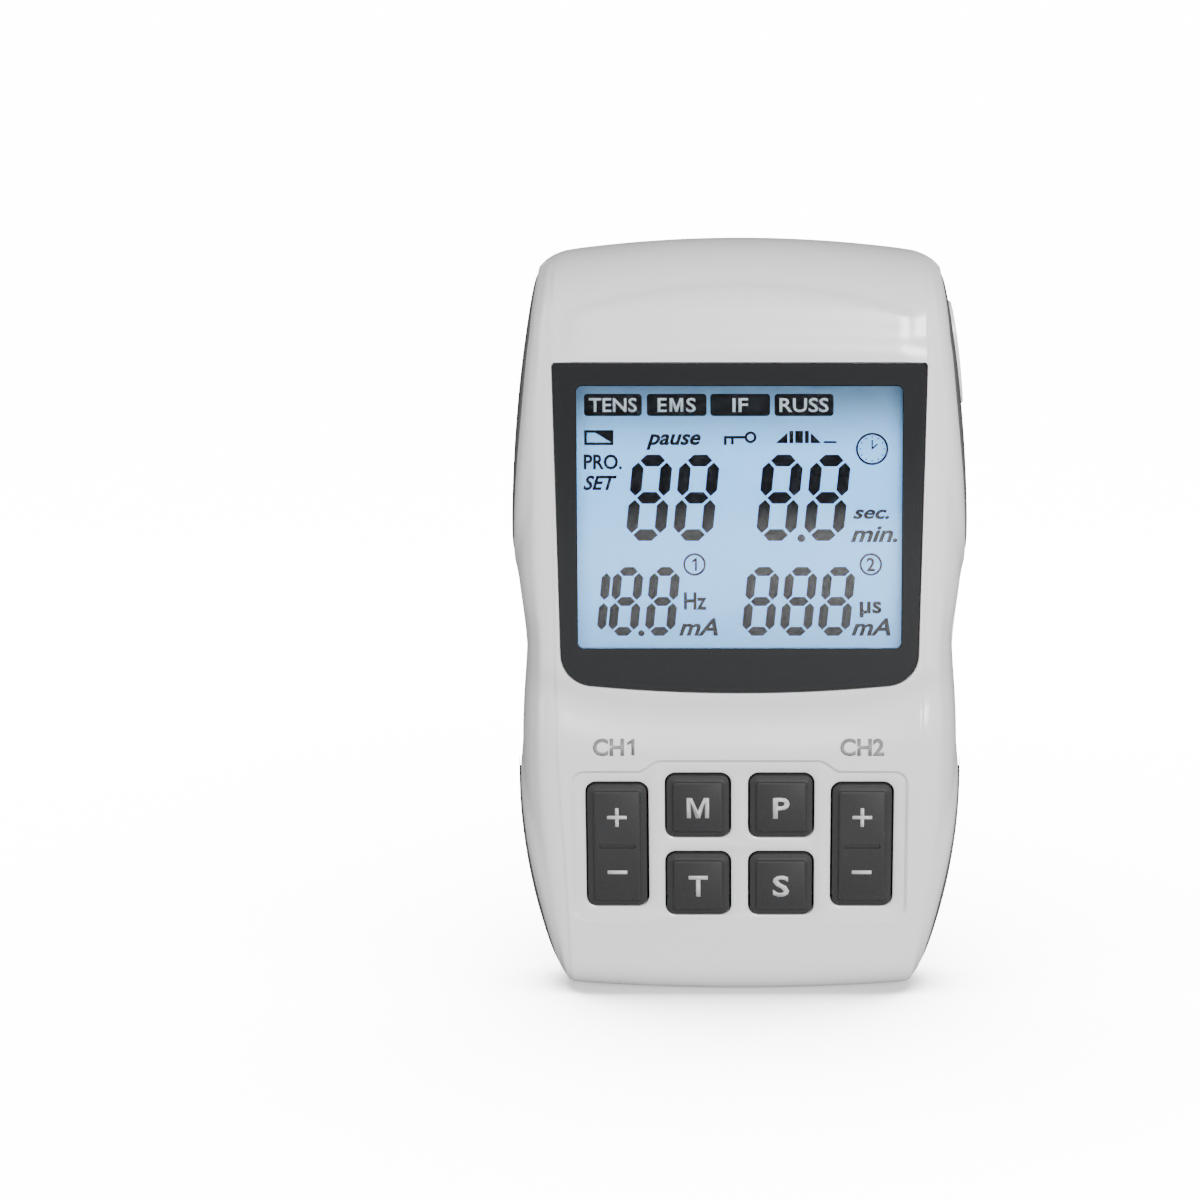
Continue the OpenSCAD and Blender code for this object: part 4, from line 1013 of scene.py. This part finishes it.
def gripPatch(kind, side):
    g = grips[kind]
    rings, spokes = 15, 120
    centre = np.array([leafMiddle(0.6, g), g["tip"][1] + (g["end"][1] - g["tip"][1]) * 0.6])
    inset = [-0.25, 0.0, 0.10, 0.22, 0.40, 0.7, 1.2]
    lift = [-1.2, -0.15, 0.14, 0.24, 0.29, 0.3, 0.3]
    pts = []
    for d, up in zip(inset, lift):
        for y, z in leafOutline(drawnIn(g, d), spokes // 2 + 1):
            pts.append((y, z, up))
    last = leafOutline(drawnIn(g, inset[-1]), spokes // 2 + 1)
    for k in range(1, rings):
        for y, z in last + (centre - last) * (k / rings):
            pts.append((y, z, 0.3))
    pts.append((centre[0], centre[1], 0.3))
    n, under, first = len(last), 6, np.array([(y, z) for y, z, _ in pts[:len(last)]])
    for k in range(1, under):
        pts += [(y, z, lift[0]) for y, z in first + (centre - first) * (k / under)]
    pts.append((centre[0], centre[1], lift[0]))
    pts = np.array(pts)
    front = sideX(pts[:, 0], pts[:, 1], True)
    rear = sideX(pts[:, 0], pts[:, 1], False)
    mix = smooth((pts[:, 0] + 1.0) / 2.0)
    x = np.where(pts[:, 0] < -1.0, front, np.where(pts[:, 0] > 1.0, rear,
                                                   front * (1 - mix) + rear * mix)) + pts[:, 2]
    total = len(inset) + rings - 1
    faces = tubeFaces(n, total)
    faces += [((total - 1) * n + i, (total - 1) * n + (i + 1) % n, total * n) for i in range(n)]
    starts = [0] + [total * n + 1 + k * n for k in range(under - 1)]
    faces += [(b + i, a + i, a + (i + 1) % n, b + (i + 1) % n) for a, b in zip(starts, starts[1:])
              for i in range(n)]
    faces += [(starts[-1] + i, starts[-1] + (i + 1) % n, len(pts) - 1) for i in range(n)]
    return np.stack([x * side, pts[:, 0], pts[:, 1]], 1), faces


for kind in ("upper", "lower"):
    for side, word in ((1, "right"), (-1, "left")):
        grip = piece("%sGrip_%s" % (kind, word), *gripPatch(kind, side), rubber, "housing", "grey_grip",
                     ("%s_grip_%s" % (kind, word),), soft=40)
        if (kind, side) == ("upper", 1):
            carve(grip, [buttonHole()])
            dress(grip, rubber, "housing", "grey_grip", (), 40)

button = loft(buttonOutline(), [(-4, 0), (-0.42, 0), (-0.24, -0.06), (-0.12, -0.2), (-0.10, -1.24),
                                (-0.2, -1.34),
                                (-0.2, -1.44), (-0.08, -1.56), (-0.05, -2.0)], overButton)
piece("powerButtonCap", *button, buttonWhite, "power_button", "white_button", ("power_button",), soft=28)
iy, iz = 3.55, 104.6


def onButton(a, d, b):
    return overButton(a, d - 0.06, b)


mark = [ringOf(iy, iz, 1.85, 0.55, 200, 520, 48, 0.05, onButton),
        slab(roundRect(2.6, 0.5, 0.2, 3, iy - 1.3, iz), 0.05, onButton),
        loft(np.array(disc(iy, iz, 0.62, 20)), [(0, 0), (0.05, 0)], onButton)]
piece("powerMark", *joined(mark), icon, "power_button", "white_button", soft=None)
print("keys, grips and button ready")

clip = {"baseW": 20.0, "baseLow": 88.4, "baseHigh": 104.6, "baseT": 2.6, "headLow": 88.2, "in": 4.6,
        "out": 6.1, "armW": 16.4, "nubZ": 52.6, "nubR": 4.0}


def backSlab(x0, x1, v0, v1, u0, u1, r=0.4, soften=0.18):
    outline = roundRect(x1 - x0, u1 - u0, r, 4, (x0 + x1) / 2, (u0 + u1) / 2)
    return loft(outline, [(v0, -soften), (v0 + soften, 0), (v1 - soften, 0),
                          (v1 - soften * 0.3, -soften * 0.3),
                          (v1, -soften)], onBack)


hb = clip["baseW"] / 2
basePlate = joined([backSlab(-hb, hb, -0.3, 0.9, clip["baseLow"], clip["baseHigh"], 1.2),
                    backSlab(-hb, -hb + 1.4, -0.3, clip["baseT"], clip["baseLow"], clip["baseHigh"], 0.5),
                    backSlab(hb - 1.4, hb, -0.3, clip["baseT"], clip["baseLow"], clip["baseHigh"], 0.5)])
piece("clipBase", *basePlate, clipWhite, "housing", "white_clip", ("clip_base",), soft=30)


def armSection(points, halfW, soften=0.2):
    # a bar of constant section across x, from an outline in v and u
    n, pts = len(points), []
    for x, shrink in ((-halfW, soften), (-halfW + soften, 0), (halfW - soften, 0), (halfW, soften)):
        for v, u in grown(points, -shrink):
            pts.append(onBack(x, v, u))
    return pts, tubeFaces(n, 4) + [tuple(range(n)), tuple(range(3 * n, 4 * n))]


half = clip["armW"] / 2
nub = [(4.9, clip["nubZ"] + clip["nubR"])] + [
    (4.7 - clip["nubR"] * math.sin(a), clip["nubZ"] + clip["nubR"] * math.cos(a))
    for a in np.linspace(0.05, math.pi - 0.05, 18)
] + [(4.9, clip["nubZ"] - clip["nubR"])]
toe = [(clip["in"], 50.0), (clip["out"], 50.0), (clip["out"] + 0.1, 48.6), (clip["out"] + 0.55, 47.5),
       (clip["out"] + 1.1, 46.6), (clip["out"] + 0.6, 46.0), (clip["out"] - 0.5, 46.0),
       (clip["in"] + 0.1, 47.6)]
armParts = [armSection([(clip["in"], 49.8), (clip["out"], 49.8), (clip["out"], 101.6),
                        (clip["out"] - 0.8, 102.4),
                        (clip["in"], 102.4)], half),
            armSection([(2.75, clip["headLow"]), (clip["out"] - 0.05, clip["headLow"]),
                        (clip["out"] - 0.05, 101.4),
                        (clip["out"] - 0.9, 102.5), (3.3, 102.5), (2.75, 101.9)], half - 0.02),
            armSection(toe, half), armSection(nub[::-1], half - 0.6)]
armParts += [armSection([(clip["in"] - 0.9, 49.5), (clip["in"] + 0.2, 49.5), (clip["in"] + 0.2, 89),
                         (clip["in"] - 0.9, 89)], 0.5)]
piece("clipArm", *joined(armParts), clipWhite, "clip_arm", "white_clip", ("clip_arm",), soft=30)
tab = armSection([(3.5, 101.9), (clip["out"] - 0.2, 101.9), (clip["out"] - 0.25, 104.8),
                  (clip["out"] - 0.9, 105.9),
                  (4.3, 105.9), (3.5, 105.0)], 6.4, 0.5)
piece("clipTab", *tab, tabGrey, "clip_arm", "white_clip", soft=30)

# Lead sockets: a bright collar round each bore, and the body below it
for i, sx in enumerate((-12, 12)):
    collar = []
    for r, d in ((3.4, 11.4), (3.4, 12.2), (3.2, 12.35), (2.5, 12.35), (2.2, 12.15), (2.2, 11.6)):
        collar += topLine(sx, r, d, d, 40)[0][:40]
    piece("socketCollar_%d" % (i + 1), collar, tubeFaces(40, 6, closed=True), steel, "housing",
          "socket_steel",
          soft=40)
    barrel = []
    for r, d in ((3.4, 0.5), (3.4, 12.0), (2.0, 12.0), (1.8, 11.8), (1.8, 2.9)):
        barrel += topLine(sx, r, d, d, 32)[0][:32]
    barrelFaces = tubeFaces(32, 5) + [tuple(range(32)), tuple(range(128, 160))]
    piece("socketBody_%d" % (i + 1), barrel, barrelFaces, socketBlack, "housing", "socket_black",
          ("output_socket_%d" % (i + 1),), soft=40)

studio = {"floor": (0.42, 0.42, 0.422), "floorGlow": 16.0, "shadowReach": 0.2, "world": 0.10,
          "key": 27.0, "fill": 8.0, "side": 5.0, "top": 0.4, "back": 3.0, "distance": 0.480,
          "elevation": 10.5, "lens": 90.4,
          "shiftX": -0.1163, "shiftY": 0.0066, "aim": (0.0, 0.0616)}

floorMesh = bpy.data.meshes.new("floor")
sweep = [(-1.6, 0.0), (0.45, 0.0)] + [(0.45 + 0.35 * math.sin(a), 0.35 - 0.35 * math.cos(a))
                                     for a in np.linspace(0.1, math.pi / 2, 14)] + [(0.8, 2.2)]
floorMesh.from_pydata([(x, y, z) for x in (-2.2, 2.2) for y, z in sweep], [],
                      [(i, i + 1, len(sweep) + i + 1, len(sweep) + i) for i in range(len(sweep) - 1)])
floorMesh.polygons.foreach_set("use_smooth", [True] * len(floorMesh.polygons))
floor = bpy.data.objects.new("floor", floorMesh)
bpy.context.scene.collection.objects.link(floor)
paleFloor = finish("paleFloor", studio["floor"], rough=0.7, tint=0.0, wear=0.0, bump=0.0, glow=(1, 1, 1),
                   shine=0.1)
floorTree = paleFloor.node_tree
# The floor glows evenly for camera rays, but an ambient occlusion node dims that glow near the unit: a
# painted soft shadow on the floor, beside the real shadow from the lamps
seen = floorTree.nodes.new("ShaderNodeLightPath")
paintedShadowOcclusion = wired(floorTree, "ShaderNodeAmbientOcclusion", {"Distance": studio["shadowReach"]}, samples=12)
glowWithPaintedShadow = wired(floorTree, "ShaderNodeMapRange", {"Value": paintedShadowOcclusion.outputs["AO"], "From Min": 0.45,
                                                 "To Min": studio["floorGlow"] * 0.04,
                                                 "To Max": studio["floorGlow"]})
glowing = wired(floorTree, "ShaderNodeMath", {0: seen.outputs["Is Camera Ray"], 1: glowWithPaintedShadow.outputs[0]},
                operation="MULTIPLY")
floorTree.links.new(glowing.outputs[0], floorTree.nodes["Principled BSDF"].inputs["Emission Strength"])
floorMesh.materials.append(paleFloor)


def softLight(name, spot, target, width, height, strength):
    data = bpy.data.lights.new(name, "AREA")
    data.shape, data.size, data.size_y, data.energy = "RECTANGLE", width, height, strength
    lamp = bpy.data.objects.new(name, data)
    bpy.context.scene.collection.objects.link(lamp)
    lamp.location = spot
    lamp.rotation_euler = (Vector(target) - Vector(spot)).to_track_quat("-Z", "Y").to_euler()
    return lamp


softLight("keyLight", (0.35, -1.1, 0.42), (0, 0, 0.06), 0.4, 0.4, studio["key"])
softLight("fillLight", (-1.05, -0.5, 0.4), (0, 0, 0.06), 0.6, 0.8, studio["fill"])
softLight("sideLight", (1.1, -0.4, 0.35), (0, 0, 0.06), 0.6, 0.8, studio["side"])
softLight("backLight", (-0.4, 1.0, 0.7), (0, 0, 0.06), 0.8, 0.8, studio["back"])
softLight("topLight", (0.0, 0.15, 1.0), (0, 0, 0.06), 0.9, 0.9, studio["top"])

world = bpy.data.worlds.new("softRoom")
bpy.context.scene.world = world
world.use_nodes = True
sky, rays = world.node_tree.nodes["Background"], world.node_tree.nodes.new("ShaderNodeLightPath")
sky.inputs["Color"].default_value = (0.95, 0.96, 0.97, 1)
bright = wired(world.node_tree, "ShaderNodeMapRange", {"Value": rays.outputs["Is Camera Ray"],
                                                       "To Min": studio["world"],
                                                       "To Max": studio["floorGlow"]})
world.node_tree.links.new(bright.outputs[0], sky.inputs["Strength"])

camera = bpy.data.objects.new("camera", bpy.data.cameras.new("camera"))
bpy.context.scene.collection.objects.link(camera)
bpy.context.scene.camera = camera
camera.data.lens, camera.data.sensor_width = studio["lens"], 36
camera.data.shift_x, camera.data.shift_y = studio["shiftX"], studio["shiftY"]
camera.data.clip_start, camera.data.clip_end = 0.01, 20
lean = math.radians(studio["elevation"])
aim = Vector((studio["aim"][0], partingY / 1000, studio["aim"][1]))
camera.location = aim + studio["distance"] * Vector((0, -math.cos(lean), math.sin(lean)))
camera.rotation_euler = (aim - camera.location).to_track_quat("-Z", "Y").to_euler()
